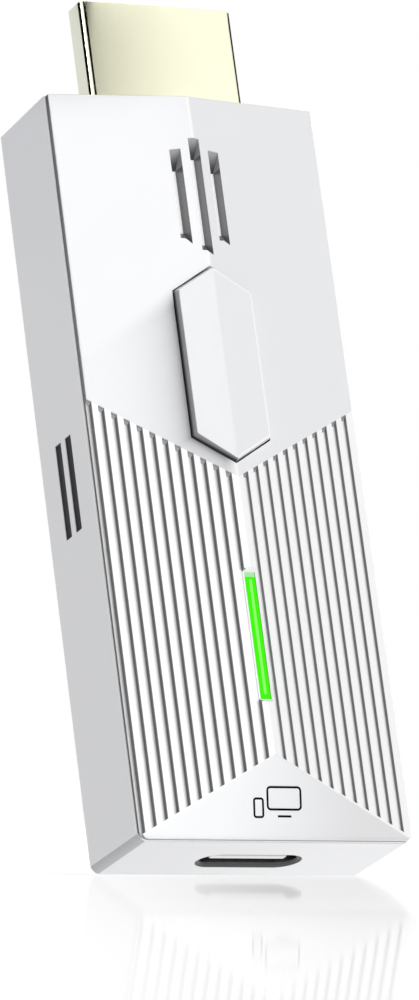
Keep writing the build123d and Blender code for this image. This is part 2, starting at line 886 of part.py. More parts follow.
with BuildPart() as radio_lid_can:
    inner_size = radio_size - part_gap - 2 * radio_lid
    with BuildSketch(layer(board_front_y - radio_board)):
        with Locations((0, radio_mid)):
            Rectangle(radio_size - part_gap, radio_size - part_gap)
    extrude(amount=radio_height)
    with BuildSketch(layer(board_front_y - radio_board)):
        with Locations((0, radio_mid)):
            Rectangle(inner_size, inner_size)
    extrude(amount=radio_height - radio_lid, mode=Mode.SUBTRACT)
radio_lid_can.part.label = "radio_lid"
export_step(radio_lid_can.part, "parts/radio_lid.step")

with BuildPart() as crystals:
    with BuildSketch(layer(board_front_y)):
        with Locations((0, radio_mid)):
            with GridLocations(2 * crystal_x, crystal_length, 2, 1):
                Rectangle(crystal_width, crystal_length)
    extrude(amount=crystal_height)
crystals.part.label = "crystals"
export_step(crystals.part, "parts/crystals.step")

with BuildPart() as signal_chokes:
    with BuildSketch(layer(board_front_y)):
        with Locations((0, choke_z)):
            with GridLocations(choke_pitch, choke_length, 4, 1):
                Rectangle(choke_width, choke_length)
    extrude(amount=choke_height)
signal_chokes.part.label = "signal_chokes"
export_step(signal_chokes.part, "parts/signal_chokes.step")

with BuildPart() as capacitors:
    with BuildSketch(layer(board_front_y)):
        with Locations((0, small_parts_z)):
            with GridLocations(2 * small_pitch, small_pitch, 6, 3):
                Rectangle(small_length, small_width)
    extrude(amount=small_height)
capacitors.part.label = "capacitors"
export_step(capacitors.part, "parts/capacitors.step")

with BuildPart() as resistors:
    with BuildSketch(layer(board_front_y)):
        with Locations((0, light_mid)):
            with GridLocations(4 * small_pitch, small_pitch, 2, 6):
                Rectangle(small_length, small_width)
    extrude(amount=small_height)
resistors.part.label = "resistors"
export_step(resistors.part, "parts/resistors.step")

print("overall", body_width, total_depth, round(plug_end, 2))
print("grooves left and right", left_grooves, right_grooves)
print("button travel", button_travel, "foot clear", round(cavity_floor_y - foot_back_y - button_travel, 3))
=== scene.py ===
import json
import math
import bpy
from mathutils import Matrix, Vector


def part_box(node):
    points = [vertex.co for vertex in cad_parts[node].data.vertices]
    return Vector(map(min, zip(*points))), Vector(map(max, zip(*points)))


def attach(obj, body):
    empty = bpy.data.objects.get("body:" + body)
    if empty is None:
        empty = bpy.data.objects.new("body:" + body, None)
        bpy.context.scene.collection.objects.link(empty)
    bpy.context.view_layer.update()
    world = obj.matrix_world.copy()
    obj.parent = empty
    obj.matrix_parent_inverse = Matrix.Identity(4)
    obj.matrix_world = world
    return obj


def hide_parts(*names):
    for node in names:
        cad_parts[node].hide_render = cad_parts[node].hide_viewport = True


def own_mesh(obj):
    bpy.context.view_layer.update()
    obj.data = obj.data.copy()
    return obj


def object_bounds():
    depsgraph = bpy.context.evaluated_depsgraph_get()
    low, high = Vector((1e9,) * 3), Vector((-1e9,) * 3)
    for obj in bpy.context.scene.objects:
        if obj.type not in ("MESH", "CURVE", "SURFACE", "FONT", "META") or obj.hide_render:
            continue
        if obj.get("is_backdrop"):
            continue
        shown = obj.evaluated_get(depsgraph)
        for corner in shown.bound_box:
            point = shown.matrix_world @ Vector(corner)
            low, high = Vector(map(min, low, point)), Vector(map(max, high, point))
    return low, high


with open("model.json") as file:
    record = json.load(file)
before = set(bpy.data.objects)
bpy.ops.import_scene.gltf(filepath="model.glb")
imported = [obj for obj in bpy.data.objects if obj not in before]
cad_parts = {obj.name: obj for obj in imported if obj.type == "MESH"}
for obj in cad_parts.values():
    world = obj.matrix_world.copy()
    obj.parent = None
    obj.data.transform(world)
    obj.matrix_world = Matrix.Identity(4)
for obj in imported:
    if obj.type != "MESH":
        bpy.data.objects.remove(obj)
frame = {"nodes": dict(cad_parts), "record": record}

# %% [markdown]
# # A white display dongle, dressed for a studio picture
# The frame holds the stick as it is built: two shells, a button over a switch, a light bar, a video
# plug, a charging socket and the board between them. Nothing in this lesson moves or resizes it.
# Each step gives one piece its finish, or rebuilds a piece whose edges have to catch the light.

# %% Tools, the unit and the box of the model
from types import SimpleNamespace

import bmesh
import bpy
from mathutils import Matrix, Vector

mm = 0.001
cad_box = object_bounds()
scene = bpy.context.scene


def put(name, data):
    """A new object in the scene."""
    item = bpy.data.objects.new(name, data)
    scene.collection.objects.link(item)
    return item


def in_mm(box):
    """The corners of a box in millimetres, to print."""
    return [[round(v / mm, 2) for v in corner] for corner in box]


print("box of the model in mm:", in_mm(cad_box))

# %% [markdown]
# ## The camera
# The photograph looks up at the stick from its lower left through a long lens, so its sides stay
# almost parallel. A camera in Blender looks along its own -Z, so its matrix is built from three
# directions: right, up and backwards.

# %% Camera at the photograph's place
camera_place = Vector((-217.2, -407.95, -124.88)) * mm
looks_along = Vector((0.4455, 0.8370, 0.3177)).normalized()
picture_up = Vector((-0.0324, -0.3395, 0.9400))
picture_right = looks_along.cross(picture_up).normalized()
picture_up = picture_right.cross(looks_along)

camera_data = bpy.data.cameras.new("camera")
camera_data.lens = 217.04
camera_data.sensor_width = 36
camera_data.sensor_fit = "AUTO"
camera_data.clip_start = 10 * mm
camera_data.clip_end = 5000 * mm
turn = Matrix((picture_right, picture_up, -looks_along)).transposed()
scene.camera = put("camera", camera_data)
scene.camera.matrix_world = Matrix.Translation(camera_place) @ turn.to_4x4()
print("camera looks along", [round(v, 3) for v in looks_along])

# %% [markdown]
# ## A shorthand for node trees
# A finish is a small sum: a mask times a tint, plus some grain. Drawn as nodes it fills a page, so one
# class wraps a socket and lets plus, minus and times add the Math nodes. The same class serves
# Geometry Nodes, because both kinds of tree share the Math node. Every other node comes from `add`.

# %% Wires and nodes
def operator(kind, swapped=False):
    """A method that adds a Math node. It is swapped for a number on the left, as in 1 - wire."""
    def method(self, other):
        return self.maths(kind, *((other, self) if swapped else (self, other)))
    return method


class Wire:
    """One output socket, so that maths on it reads like Python."""

    def __init__(self, socket):
        self.socket = socket
        self.tree = socket.id_data

    def maths(self, operation, *values):
        node = self.tree.nodes.new("ShaderNodeMath")
        node.operation = operation
        for socket, value in zip(node.inputs, values):
            plug_in(socket, value)
        return Wire(node.outputs[0])

    __add__, __radd__ = operator("ADD"), operator("ADD", swapped=True)
    __sub__, __rsub__ = operator("SUBTRACT"), operator("SUBTRACT", swapped=True)
    __mul__, __rmul__ = operator("MULTIPLY"), operator("MULTIPLY", swapped=True)
    __truediv__ = operator("DIVIDE")

    def beside(self, output):
        """Another output of the same node."""
        return Wire(self.socket.node.outputs[output])

    def __neg__(self):
        return self.maths("MULTIPLY", self, -1)

    def __abs__(self):
        return self.maths("ABSOLUTE", self)


def plug_in(socket, value):
    """Link a wire to a socket, or set a plain value on it."""
    if isinstance(value, Wire):
        value.tree.links.new(value.socket, socket)
    else:
        socket.default_value = value


def add(tree, kind, settings=None, inputs=None, output=0):
    """Make a node, set its settings first and its sockets after, and return one of its outputs."""
    node = tree.nodes.new(kind)
    for name, value in (settings or {}).items():
        setattr(node, name, value)
    for name, value in (inputs or {}).items():
        plug_in(node.inputs[name], value)
    return Wire(node.outputs[output])


def lead_out(tree, shader, kind="Material"):
    """Lead a shader to the output of a material or of the world."""
    plug_in(tree.nodes.new("ShaderNodeOutput" + kind).inputs["Surface"], shader)


def split(vector):
    """The x, y and z of a vector, as three wires."""
    first = add(vector.tree, "ShaderNodeSeparateXYZ", inputs={0: vector})
    return first, first.beside(1), first.beside(2)


def vector_of(x, y, z):
    """A vector from three values, of which at least one is a wire."""
    tree = next(value.tree for value in (x, y, z) if isinstance(value, Wire))
    return add(tree, "ShaderNodeCombineXYZ", inputs={"X": x, "Y": y, "Z": z})


def step(value, start, end):
    """0 before start, 1 after end, and smooth between them."""
    settings = {"interpolation_type": "SMOOTHSTEP"}
    inputs = {"Value": value, "From Min": start, "From Max": end}
    return add(value.tree, "ShaderNodeMapRange", settings, inputs)


def larger(first, second):
    """The larger of a wire and another value."""
    return first.maths("MAXIMUM", first, second)


def root(value):
    """The square root of a wire."""
    return value.maths("SQRT", value)


def fraction(value):
    """What a wire has beyond its last whole number."""
    return value.maths("FRACT", value)


def fading(distance, share):
    """1 at a distance of 0, and the given share of itself after each further millimetre."""
    return distance.maths("POWER", share, distance / mm)


def mix(factor, first, second):
    """A colour between two colours. A Mix node has them in its sockets 6 and 7, and its output 2."""
    inputs = {0: factor, 6: first, 7: second}
    return add(factor.tree, "ShaderNodeMix", {"data_type": "RGBA"}, inputs, output=2)


def noise(place, scale, detail=2.0):
    """Soft random blotches from 0 to 1, about 1 / scale metres wide."""
    inputs = {"Vector": place, "Scale": scale, "Detail": detail}
    return add(place.tree, "ShaderNodeTexNoise", inputs=inputs)


print("shorthand ready")

# %% [markdown]
# ## One recipe for every finish
# Each material ends in one Principled shader. What is the same all over a surface is set on its
# sockets. Only what changes over it comes through nodes: colour, roughness and a bump. All of it reads
# Object coordinates, so a pattern stays on its piece when the piece moves.

# %% The two ends of a finish
def rgb(red, green, blue):
    """A colour as its sockets want it, in linear light."""
    return (red, green, blue, 1.0)


def grey(level, blue=None):
    """A grey, or one with a little more blue in it."""
    return rgb(level, level, blue or level)


def start_finish(name):
    """A new material, with its object coordinates and the way that the surface faces."""
    material = bpy.data.materials.new(name)
    material.use_nodes = True
    tree = material.node_tree
    tree.nodes.clear()
    place = add(tree, "ShaderNodeTexCoord", output="Object")
    facing = place.beside("Normal")
    x, y, z = split(place)
    return SimpleNamespace(material=material, tree=tree, place=place, facing=facing, x=x, y=y, z=z)


def bump(height, distance, strength=1.0):
    """A normal that is tilted by the slope of a height, which counts in steps of distance metres."""
    inputs = {"Height": height, "Distance": distance, "Strength": strength}
    return add(height.tree, "ShaderNodeBump", inputs=inputs)


def end_finish(finish, **sockets):
    """Close a finish with a Principled shader. An underscore in a socket's name stands for a space."""
    inputs = {name.replace("_", " "): value for name, value in sockets.items()}
    shader = add(finish.tree, "ShaderNodeBsdfPrincipled", inputs=inputs)
    lead_out(finish.tree, shader)
    return finish.material


print("recipe ready")

# %% [markdown]
# ## Sizes that the finishes and the pieces share
# The frame gives the corners of each node, so most sizes are read from it. The rest are the real sizes
# of the moulding: the pitch of its grooves, the length of its facet. Everything here is in
# millimetres, because this stick has edges of a twentieth of one, and Blender's tools work best on
# numbers near 1. A finished piece is scaled to metres in one place, at its end.

# %% Levels of the stick, in millimetres
def corners_of(node):
    """Lowest and highest corner of a node of the frame, in millimetres."""
    low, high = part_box(node)
    return low / mm, high / mm


cover_low, cover_high = corners_of("front_cover")
house_low, house_high = corners_of("rear_housing")
bar_low, bar_high = corners_of("light_bar")
button_low_corner, button_high_corner = corners_of("button_cap")

cover_half, half_width = cover_high.x, house_high.x
ridge_y, seam_y, back_y = cover_low.y, house_low.y, house_high.y
edge_height = 0.55
side_front_y = seam_y - edge_height
ridge_rise = side_front_y - ridge_y
roof_slope = ridge_rise / cover_half

facet_height = 6.6
facet_top = cover_low.z + facet_height
groove_width, groove_depth = 0.5, 0.33
left_count, left_first, left_pitch = 12, 0.80, 1.0055
right_count, right_first, right_pitch = 11, 0.735, 1.03
groove_floor_y = ridge_y + groove_depth
light_width, light_flange = 0.97, 0.6
light_bottom, light_top = bar_low.z + light_flange, bar_high.z - light_flange
valley_rise, button_width, button_length, button_tip = 6.64, 6.84, 16.8, 2.15
above_light, above_valley, above_button, vent_length = 8.05, 1.25, 1.45, 9.9
valley_low = light_top + above_light
button_bottom = valley_low + above_valley
button_top = button_bottom + button_length
button_middle = (button_bottom + button_top) / 2
vent_low = button_top + above_button
vent_high = vent_low + vent_length
vent_depth, vent_width, vent_pitch, vent_step = 1.3, 0.97, 1.73, 1.03
vent_ramp_high, vent_ramp_low, vent_slant, vent_extra = 1.38, 0.95, 0.4, 0.15
levels = (facet_top, light_bottom, light_top, valley_low, button_bottom, vent_low, vent_high)
print("facet top, light, valley, button, vents:", [round(level, 2) for level in levels])

# %% [markdown]
# ## White moulded plastic
# The shells are satin white: a fine spark-eroded grain and a little uneven gloss. Light and shade are
# painted into their colour as well. The crisp look comes from the walls: wherever the moulding drops
# away from its front face on the shaded side, the wall gets painted shade, nearly dark. A mask from the
# surface's direction finds those walls, and the depth under the roof-shaped front darkens the painted
# shade towards their foot. Lands, the ridge and some edges get a painted highlight.

# %% What the white finishes share
shell_white = rgb(0.86, 0.865, 0.88)
# A painted highlight, and below it two greys of painted shade for the walls.
highlight_white = grey(0.995)
shade_high, shade_low = grey(0.24, 0.25), grey(0.085, 0.09)


def satin(finish, **sockets):
    """Fine grain and a faint unevenness of gloss, as on a spark-eroded mould."""
    grain = noise(finish.place, 9000, 3)
    gloss = noise(finish.place, 260, 2)
    return end_finish(
        finish,
        Roughness=0.22 + 0.06 * gloss,
        IOR=1.49,
        Normal=bump(grain, 0.0000015),
        **sockets,
    )


def roof(x, unit=1.0):
    """Depth of the roof-shaped front at a place across it. Finishes give x, and want it, in metres."""
    return ridge_y * unit + abs(x) * roof_slope


def above(value, *levels):
    """1 above a level, with a soft edge between two levels in millimetres."""
    return step(value, *(level * mm for level in levels))


def band(value, start, low, high, end):
    """1 between low and high, 0 before start and after end, all in millimetres."""
    return above(value, start, low) * (1 - above(value, high, end))


def off_groove(across, first, pitch):
    """Distance outwards from the middle of the nearest groove of a row, in metres."""
    return (fraction((across - first * mm) / (pitch * mm) + 0.5) - 0.5) * (pitch * mm)


print("white plastics share", satin.__name__, "and", roof.__name__)

# %% [markdown]
# The cover's finish is a stack of masks. The first ones ask where a point is: on a wall that doesn't
# face the light on the right, in a vent recess, on the bottom edge. Walls get painted shade, darker with
# depth. In the vents the painted shade is an even grey, and a lighter grey beside the upper ramps. The
# bottom edge gets a band of painted shade along the seam and a painted highlight elsewhere.

# %% Cover: painted shade on walls, vents and the bottom edge
cover = start_finish("cover_white")
looks_right, looks_back, looks_up = split(cover.facing)
off_middle = abs(cover.x)
depth = cover.y - roof(cover.x, mm)
wall = (1 - step(abs(looks_back), 0.42, 0.72)) * (1 - step(looks_right, 0.3, 0.6))
vents_from, vents_half, middle_vent_half = vent_low - 0.8, 2.6, 0.8
in_vents = above(cover.z, vents_from - 0.1, vents_from) * above(depth, 0.02, 0.04)
in_vents = in_vents * (1 - above(off_middle, vents_half, vents_half + 0.1))

outer_vent = above(off_middle, middle_vent_half, middle_vent_half + 0.1)
ramp_foot = (vent_high - vent_ramp_high) * mm - outer_vent * (vent_step * mm)
vent_shade = mix(above(depth, 0.5, 1.25), grey(0.16, 0.165), grey(0.10, 0.105))
vent_shade = mix(above(cover.z - ramp_foot, -0.1, 0.05), vent_shade, grey(0.40, 0.41))
# Painted shade on the walls, darker with depth, and in the vents and along the seam.
wall_shade = mix(above(depth, 0.0, 0.26), shade_high, shade_low)
wall_shade = mix(in_vents, wall_shade, vent_shade)
seam_shade = band(cover.y, *(side_front_y + level for level in (0.04, 0.1, 0.33, 0.4)))
bottom_edge = step(-looks_up, 0.5, 0.9) * (1 - in_vents)
wall_shade = mix(bottom_edge, wall_shade, mix(seam_shade, highlight_white, grey(0.22, 0.225)))

# %% [markdown]
# The front itself is white. The lands between the grooves and the line of the ridge get a painted
# highlight, and each groove gets painted shade towards its right wall. The row's own numbers say how far
# a point is from the middle of its groove. The groove at the left edge gets darker painted shade, and
# none is shaded beside the light bar.

# %% Cover: painted highlight on lands, painted shade in grooves
hip = facet_top * mm - off_middle * (facet_height / cover_half)
valley = valley_low * mm + off_middle * (valley_rise / cover_half)
ribbed = above(valley - cover.z, 0.0, 0.1) * above(cover.z - hip, 0.0, 0.1)
on_ridge = (1 - above(off_middle, 0.06, 0.16)) * above(cover.z, valley_low, valley_low + 0.1)
# Painted highlight on the lands and along the ridge.
front_tint = mix(larger(ribbed, on_ridge), shell_white, highlight_white)

on_left = step(-cover.x, 0.0, 0.01 * mm)
off_left = off_groove(off_middle, left_first, left_pitch)
off_right = off_groove(off_middle, right_first, right_pitch)
rightwards = off_right - on_left * (off_left + off_right)
beside_light = band(cover.z, light_bottom - 0.3, light_bottom, light_top, light_top + 0.3)
beside_light = beside_light * band(cover.x, -1.15, -1.1, 0, 0.1)
groove = ribbed * above(depth, 0.005, 0.03) * above(off_middle, 0.4, 0.45) * (1 - beside_light)
edge_groove_from = 11.4
edge_groove = above(-cover.x, edge_groove_from, edge_groove_from + 0.1)
shade_start = -0.05 * mm - on_left * (0.06 * mm) - edge_groove * (0.04 * mm)
shade_end = 0.28 * mm - edge_groove * (0.04 * mm)
# Painted shade across each groove, darkest at its right wall.
groove_shade = mix(edge_groove, grey(0.042, 0.045), grey(0.025, 0.026))
front_tint = mix(groove * step(rightwards, shade_start, shade_end), front_tint, groove_shade)

# %% [markdown]
# A soft shade lies left of the button and below it, where the button keeps the room's light off the
# roof. It fades with the distance from the button's outline: a short dark part and a long pale one.

# %% Cover: shade beside the button
tip_run = math.hypot(button_tip, button_width / 2)
lean_x, lean_z = button_tip / tip_run, button_width / 2 / tip_run
tip_reach = button_length / 2 * lean_z
beside = -cover.x - button_width / 2 * mm
above_middle = cover.z - button_middle * mm
below_left = -cover.x * lean_x - above_middle * lean_z - tip_reach * mm
over_left = -cover.x * lean_x + above_middle * lean_z - tip_reach * mm
from_button = larger(larger(larger(beside, below_left), over_left), 0.0)
shade = 0.72 * fading(from_button, 0.108) + 0.46 * fading(from_button, 0.681)
shade = shade * (1 - above(over_left, -1.2, 0.5)) * (1 - above(cover.x, -1.1, 0.2)) * (1 - ribbed * 0.7)
front_tint = mix(shade, front_tint, grey(0.02, 0.025))

# %% [markdown]
# Last come the ends, with painted shade: the ramps of the vents, the upper ends of the grooves, and the
# facet, which gets a little painted shade towards the right. The floors of the vents get a painted
# highlight and a faint painted glow, since they lie deep and yet show pure white.

# %% Cover: painted shade on ramps, ends and the facet, painted glow on the vent floors, then the finish
# Painted shade on the vent ramps, the groove ends and the right of the facet.
ramp = in_vents * step(abs(looks_up), 0.4, 0.6)
ramp_shade = mix(above(depth, 0.05, 1.15), grey(0.42, 0.43), grey(0.10, 0.105))
lower_ramp_shade = mix(above(depth, 0.02, 0.3), grey(0.06), grey(0.24, 0.25))
ramp_shade = mix(step(looks_up, 0.1, 0.3), ramp_shade, lower_ramp_shade)
by_light = band(cover.z, light_bottom - 0.8, light_bottom - 0.6, light_top + 0.6, light_top + 0.8)
groove_end = ribbed * step(abs(looks_up), 0.25, 0.45) * (1 - by_light)
groove_end_shade = mix(above(depth, 0.0, 0.2), grey(0.17, 0.175), grey(0.40, 0.41))
facet_shade = mix(above(cover.x, 0.5, 8), shell_white, grey(0.79, 0.80))
front_tint = mix(1 - above(cover.z - hip, -0.05, 0.0), front_tint, facet_shade)
tint = mix(wall, front_tint, wall_shade)
tint = mix(ramp, tint, ramp_shade)
tint = mix(groove_end, tint, groove_end_shade)
# A painted highlight and a faint painted glow on the vent floors.
vent_floor_painted_glow = 0.45
vent_floor = in_vents * step(-looks_back, 0.85, 0.95) * above(depth, 1.1, 1.15)
cover_white = satin(
    cover,
    Base_Color=mix(vent_floor, tint, highlight_white),
    Emission_Color=mix(vent_floor, grey(0), grey(1)),
    Emission_Strength=vent_floor_painted_glow,
)
print("cover finish:", len(cover.tree.nodes), "nodes")

# %% [markdown]
# The housing is the same plastic, with painted shade. Its side slots are dark inside, the rounded
# corner of its lower end sits in its own shade, and a dark ring of shade lies round the socket's mouth.
# The lower end is painted darker on the left and lighter on the right, as light falls on it.

# %% Finish of the housing, with painted shade and light
housing = start_finish("housing_white")
looks_right, looks_back, looks_up = split(housing.facing)
slot_low, slot_high, slot_middle_y = 26.98, 34.98, back_y - 4.665
slots_half, shade_ring = 1.55, 0.13
into_side = half_width * mm - abs(housing.x)
in_slot = band(housing.z, slot_low - 0.1, slot_low, slot_high, slot_high + 0.1)
in_slot = in_slot * band(into_side, 0.05, 0.07, 1.1, 1.15)
off_slots = abs(housing.y - slot_middle_y * mm)
in_slot = in_slot * (1 - above(off_slots, slots_half, slots_half + 0.05))
# Painted shade inside the side slots.
slot_shade = mix(above(into_side, 0.06, 0.7), grey(0.10, 0.105), grey(0.26, 0.27))

socket_low, socket_high = corners_of("socket_shell")
socket_y = (socket_low.y + socket_high.y) / 2
socket_radius = (socket_high.y - socket_low.y) / 2
past_end = larger(abs(housing.x) - (socket_high.x - socket_radius) * mm, 0.0)
off_level = housing.y - socket_y * mm
from_socket = root(past_end * past_end + off_level * off_level)
ring_end = socket_radius + shade_ring
socket_shade = 1 - above(from_socket, ring_end, ring_end + 0.03)
socket_shade = socket_shade * (1 - above(housing.z, 1.4, 1.5))

# Painted shade on the left of the lower end and a painted highlight on its right.
end_shade_and_light = mix(above(housing.x, -11, 9), rgb(0.80, 0.805, 0.82), rgb(0.91, 0.915, 0.93))
tint = mix(step(-looks_up, 0.8, 0.95), shell_white, end_shade_and_light)
corner_shade = step(-looks_right, 0.12, 0.3) * step(-looks_up, 0.12, 0.3)
tint = mix(corner_shade, tint, rgb(0.47, 0.475, 0.485))
tint = mix(socket_shade, tint, grey(0.09, 0.095))
housing_white = satin(housing, Base_Color=mix(in_slot, tint, slot_shade))

# %% [markdown]
# The button has painted shade on its left and lower walls, and a thin painted highlight along its right
# edges.

# %% Finish of the button, with painted shade and highlight
button = start_finish("button_white")
looks_right, looks_back, looks_up = split(button.facing)
looks_away = -0.8 * looks_right - 0.6 * looks_up
wall = (1 - step(abs(looks_back), 0.5, 0.9)) * step(looks_away, 0.25, 0.5)
foot = above(button.y - roof(button.x, mm), -0.35, 0.0)
out_x, out_z = abs(button.x), abs(button.z - button_middle * mm)
outwards = larger(out_x - button_width / 2 * mm, out_x * lean_x + out_z * lean_z - tip_reach * mm)
# A painted highlight along the right edges, and painted shade on the walls towards their foot.
rim_highlight = above(outwards, -0.31, -0.27) * above(button.x, -0.1, 0.1)
tint = mix(larger(step(-looks_away, 0.15, 0.4), rim_highlight), shell_white, highlight_white)
button_white = satin(button, Base_Color=mix(wall, tint, mix(foot, grey(0.34, 0.35), shade_low)))
print("white plastics:", cover_white.name, housing_white.name, button_white.name)

# %% [markdown]
# ## The lit bar
# A clear light pipe carries the lamps' light to the front. It glows green, is palest along the line
# where the lamps sit behind it, and pale again at its upper end. An emission colour draws that, from
# two masks on the object coordinates.

# %% Finish of the light bar
bar_glow = 0.95
bar = start_finish("light_guide_green")
core = 1 - above(abs(bar.x), 0.09, 0.16)
core = core * band(bar.z, light_bottom + 0.35, light_bottom + 0.5, light_top - 0.7, light_top - 0.55)
end_strip = above(bar.z, light_top - 0.42, light_top - 0.36)
glow = mix(core, rgb(0.055, 0.86, 0.0), rgb(0.28, 0.92, 0.15))
glow = mix(end_strip, glow, rgb(0.45, 0.72, 0.42))
light_green = end_finish(
    bar,
    Base_Color=rgb(0.005, 0.12, 0.002),
    Roughness=0.12 + 0.05 * noise(bar.place, 700),
    IOR=1.12,
    Emission_Color=glow,
    Emission_Strength=bar_glow,
)
print("light bar:", light_green.name)

# %% [markdown]
# ## Metals
# The plug is plated in a pale gold, drawn along its length, so it has fine streaks in that direction.
# A metal takes all its colour from what it reflects, so its base colour is high and the studio gives
# the light and dark. The socket's steel is the exception: its nearly black colour is painted shade for
# the dark ring of its mouth, and it is duller. Each name is a slot of the record.

# %% Finish of the metals
finishes = {"white_shell": housing_white, "white_button": button_white, "light_guide": light_green}


def drawn(name, colour, roughness, streak, stretch=(9000, 9000, 160)):
    """A metal with fine streaks along z."""
    finish = start_finish(name)
    mapping = add(finish.tree, "ShaderNodeMapping", inputs={"Vector": finish.place, "Scale": stretch})
    lines = noise(mapping, 1.0, 2)
    cloud = noise(finish.place, 300, 2)
    return end_finish(
        finish,
        Base_Color=mix(cloud, colour, rgb(*(0.94 * c for c in colour[:3]))),
        Metallic=1.0,
        Roughness=roughness + streak * lines,
        Normal=bump(lines, 0.0000008),
    )


for slot, colour, roughness, streak in (
    ("plug_plating", rgb(0.98, 0.965, 0.74), 0.10, 0.06),
    ("contact_plating", rgb(0.92, 0.76, 0.40), 0.16, 0.08),
    # Nearly black: painted shade for the socket's dark mouth.
    ("socket_steel", grey(0.085, 0.088), 0.30, 0.10),
    ("shield_steel", grey(0.72, 0.71), 0.26, 0.12),
    ("screw_steel", grey(0.62, 0.61), 0.24, 0.10),
    ("spreader_aluminium", grey(0.80, 0.81), 0.32, 0.14),
):
    finishes[slot] = drawn(slot, colour, roughness, streak)
print("metals ready")

# %% [markdown]
# ## Resins, laminate and small parts
# Behind the shells sit the parts that only show when the stick is taken apart. Each still gets the
# surface that it has on a bench: solder mask with buried tracks, matt chip resin, pressed ferrite,
# fired ceramic and soft silicone.

# %% Finish of the resins
def moulded(name, colour, other, scale, roughness, grain=0.000002, ior=1.5):
    """A dull moulded material with a speckle between two close colours."""
    finish = start_finish(name)
    speck = noise(finish.place, scale, 4)
    return end_finish(
        finish,
        Base_Color=mix(step(speck, 0.35, 0.7), colour, other),
        Roughness=roughness + 0.1 * speck,
        IOR=ior,
        Normal=bump(speck, grain),
    )


for slot, colour, other, scale, roughness, *grain in (
    ("black_moulding", grey(0.012, 0.013), grey(0.02, 0.021), 5000, 0.42),
    ("white_moulding", grey(0.90, 0.895), grey(0.86, 0.855), 3000, 0.3),
    ("chip_resin", grey(0.022, 0.024), grey(0.035, 0.037), 9000, 0.5),
    ("ferrite", rgb(0.055, 0.053, 0.05), rgb(0.11, 0.105, 0.1), 12000, 0.55),
    ("ceramic_body", rgb(0.42, 0.30, 0.18), rgb(0.50, 0.38, 0.24), 8000, 0.35),
    ("pad_silicone", rgb(0.26, 0.34, 0.42), rgb(0.32, 0.40, 0.47), 2500, 0.7, 0.000006),
    ("lamp_resin", rgb(0.55, 0.86, 0.5), rgb(0.62, 0.9, 0.56), 2500, 0.2),
):
    finishes[slot] = moulded(slot, colour, other, scale, roughness, *grain)
ink_black = moulded("ink_black", grey(0.004), grey(0.009), 5000, 0.85, ior=1.15)

board = start_finish("board_laminate")
square = {"distance": "CHEBYCHEV"}
inputs = {"Vector": board.place, "Scale": 900.0, "Randomness": 0.65}
cells = add(board.tree, "ShaderNodeTexVoronoi", square, inputs)
tracks = step(abs(cells - 0.42), 0.05, 0.09)
weave = noise(board.place, 6000, 2)
finishes["board_laminate"] = end_finish(
    board,
    Base_Color=mix(tracks, rgb(0.03, 0.20, 0.075), rgb(0.012, 0.115, 0.04)),
    Roughness=0.24 + 0.1 * weave,
    Normal=bump(tracks, 0.000015),
)
print("resins ready")

# %% Each node of the frame takes its finish from its slot on record
slot_of = {part["node"]: part["material_slot"] for part in frame["record"]["subparts"]}
for name, node in frame["nodes"].items():
    node.data.materials.clear()
    node.data.materials.append(finishes[slot_of[name]])
frame["nodes"]["front_cover"].data.materials[0] = cover_white
print(len(frame["nodes"]), "nodes finished from", len(finishes), "slots")

# %% [markdown]
# ## Helpers for modelled pieces
# A piece is drawn in millimetres, because Blender's mesh tools merge points that are closer than a
# hundredth of a millimetre or so when they are given metres. It is scaled once, when it is finished.

# %% From a bmesh to a finished piece
def mesh_from(bm, name):
    """A mesh with its faces turned outwards. The bmesh is freed."""
    mesh = bpy.data.meshes.new(name)
    bmesh.ops.recalc_face_normals(bm, faces=bm.faces)
    bm.to_mesh(mesh)
    bm.free()
    return mesh


def bmesh_of(mesh, merged=None):
    """A bmesh from a mesh. Points that are no further apart than merged become one."""
    bm = bmesh.new()
    bm.from_mesh(mesh)
    if merged:
        bmesh.ops.remove_doubles(bm, verts=bm.verts, dist=merged)
    return bm


def piece_from(bm, name, slot, *replaced, body="housing", material=None, smooth_angle=30):
    """Scale a bmesh to metres, keep its large faces flat in shading, and put it in the frame."""
    mesh = mesh_from(bm, name)
    mesh.transform(Matrix.Scale(mm, 4))
    mesh.materials.clear()
    mesh.materials.append(material or finishes[slot])
    mesh.shade_smooth()
    mesh.set_sharp_from_angle(angle=math.radians(smooth_angle))
    draft = put(name, mesh)
    draft.modifiers.new("large faces stay flat", "WEIGHTED_NORMAL").keep_sharp = True
    shaded = evaluated(draft)
    shaded.name = name
    piece = put(name, shaded)
    if replaced:
        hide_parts(*replaced)
    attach(piece, body)
    return piece


def evaluated(item):
    """The plain mesh that an object's modifiers make. The object itself is removed."""
    bpy.context.view_layer.update()
    ready = item.evaluated_get(bpy.context.evaluated_depsgraph_get())
    mesh = bpy.data.meshes.new_from_object(ready)
    bpy.data.objects.remove(item)
    return mesh


def loft(bm, loops, ends="capped"):
    """Join loops of points, all of one length, by walls. The two ends are capped, joined or open."""
    rings = [[bm.verts.new(point) for point in loop] for loop in loops]
    next_rings = rings[1:] + rings[:1] if ends == "joined" else rings[1:]
    for lower, upper in zip(rings, next_rings):
        for i in range(len(lower)):
            j = (i + 1) % len(lower)
            bm.faces.new((lower[i], lower[j], upper[j], upper[i]))
    if ends == "capped":
        bm.faces.new(reversed(rings[0]))
        bm.faces.new(rings[-1])
    return rings


def rectangle(left, low, right, high):
    """The corners of a rectangle in two coordinates."""
    return [(left, low), (right, low), (right, high), (left, high)]


def at_height(outline, z):
    """An outline in x and y, set at one height."""
    return [(x, y, z) for x, y in outline]


def at_depth(outline, y):
    """An outline in x and z, set at one depth."""
    return [(x, y, z) for x, z in outline]


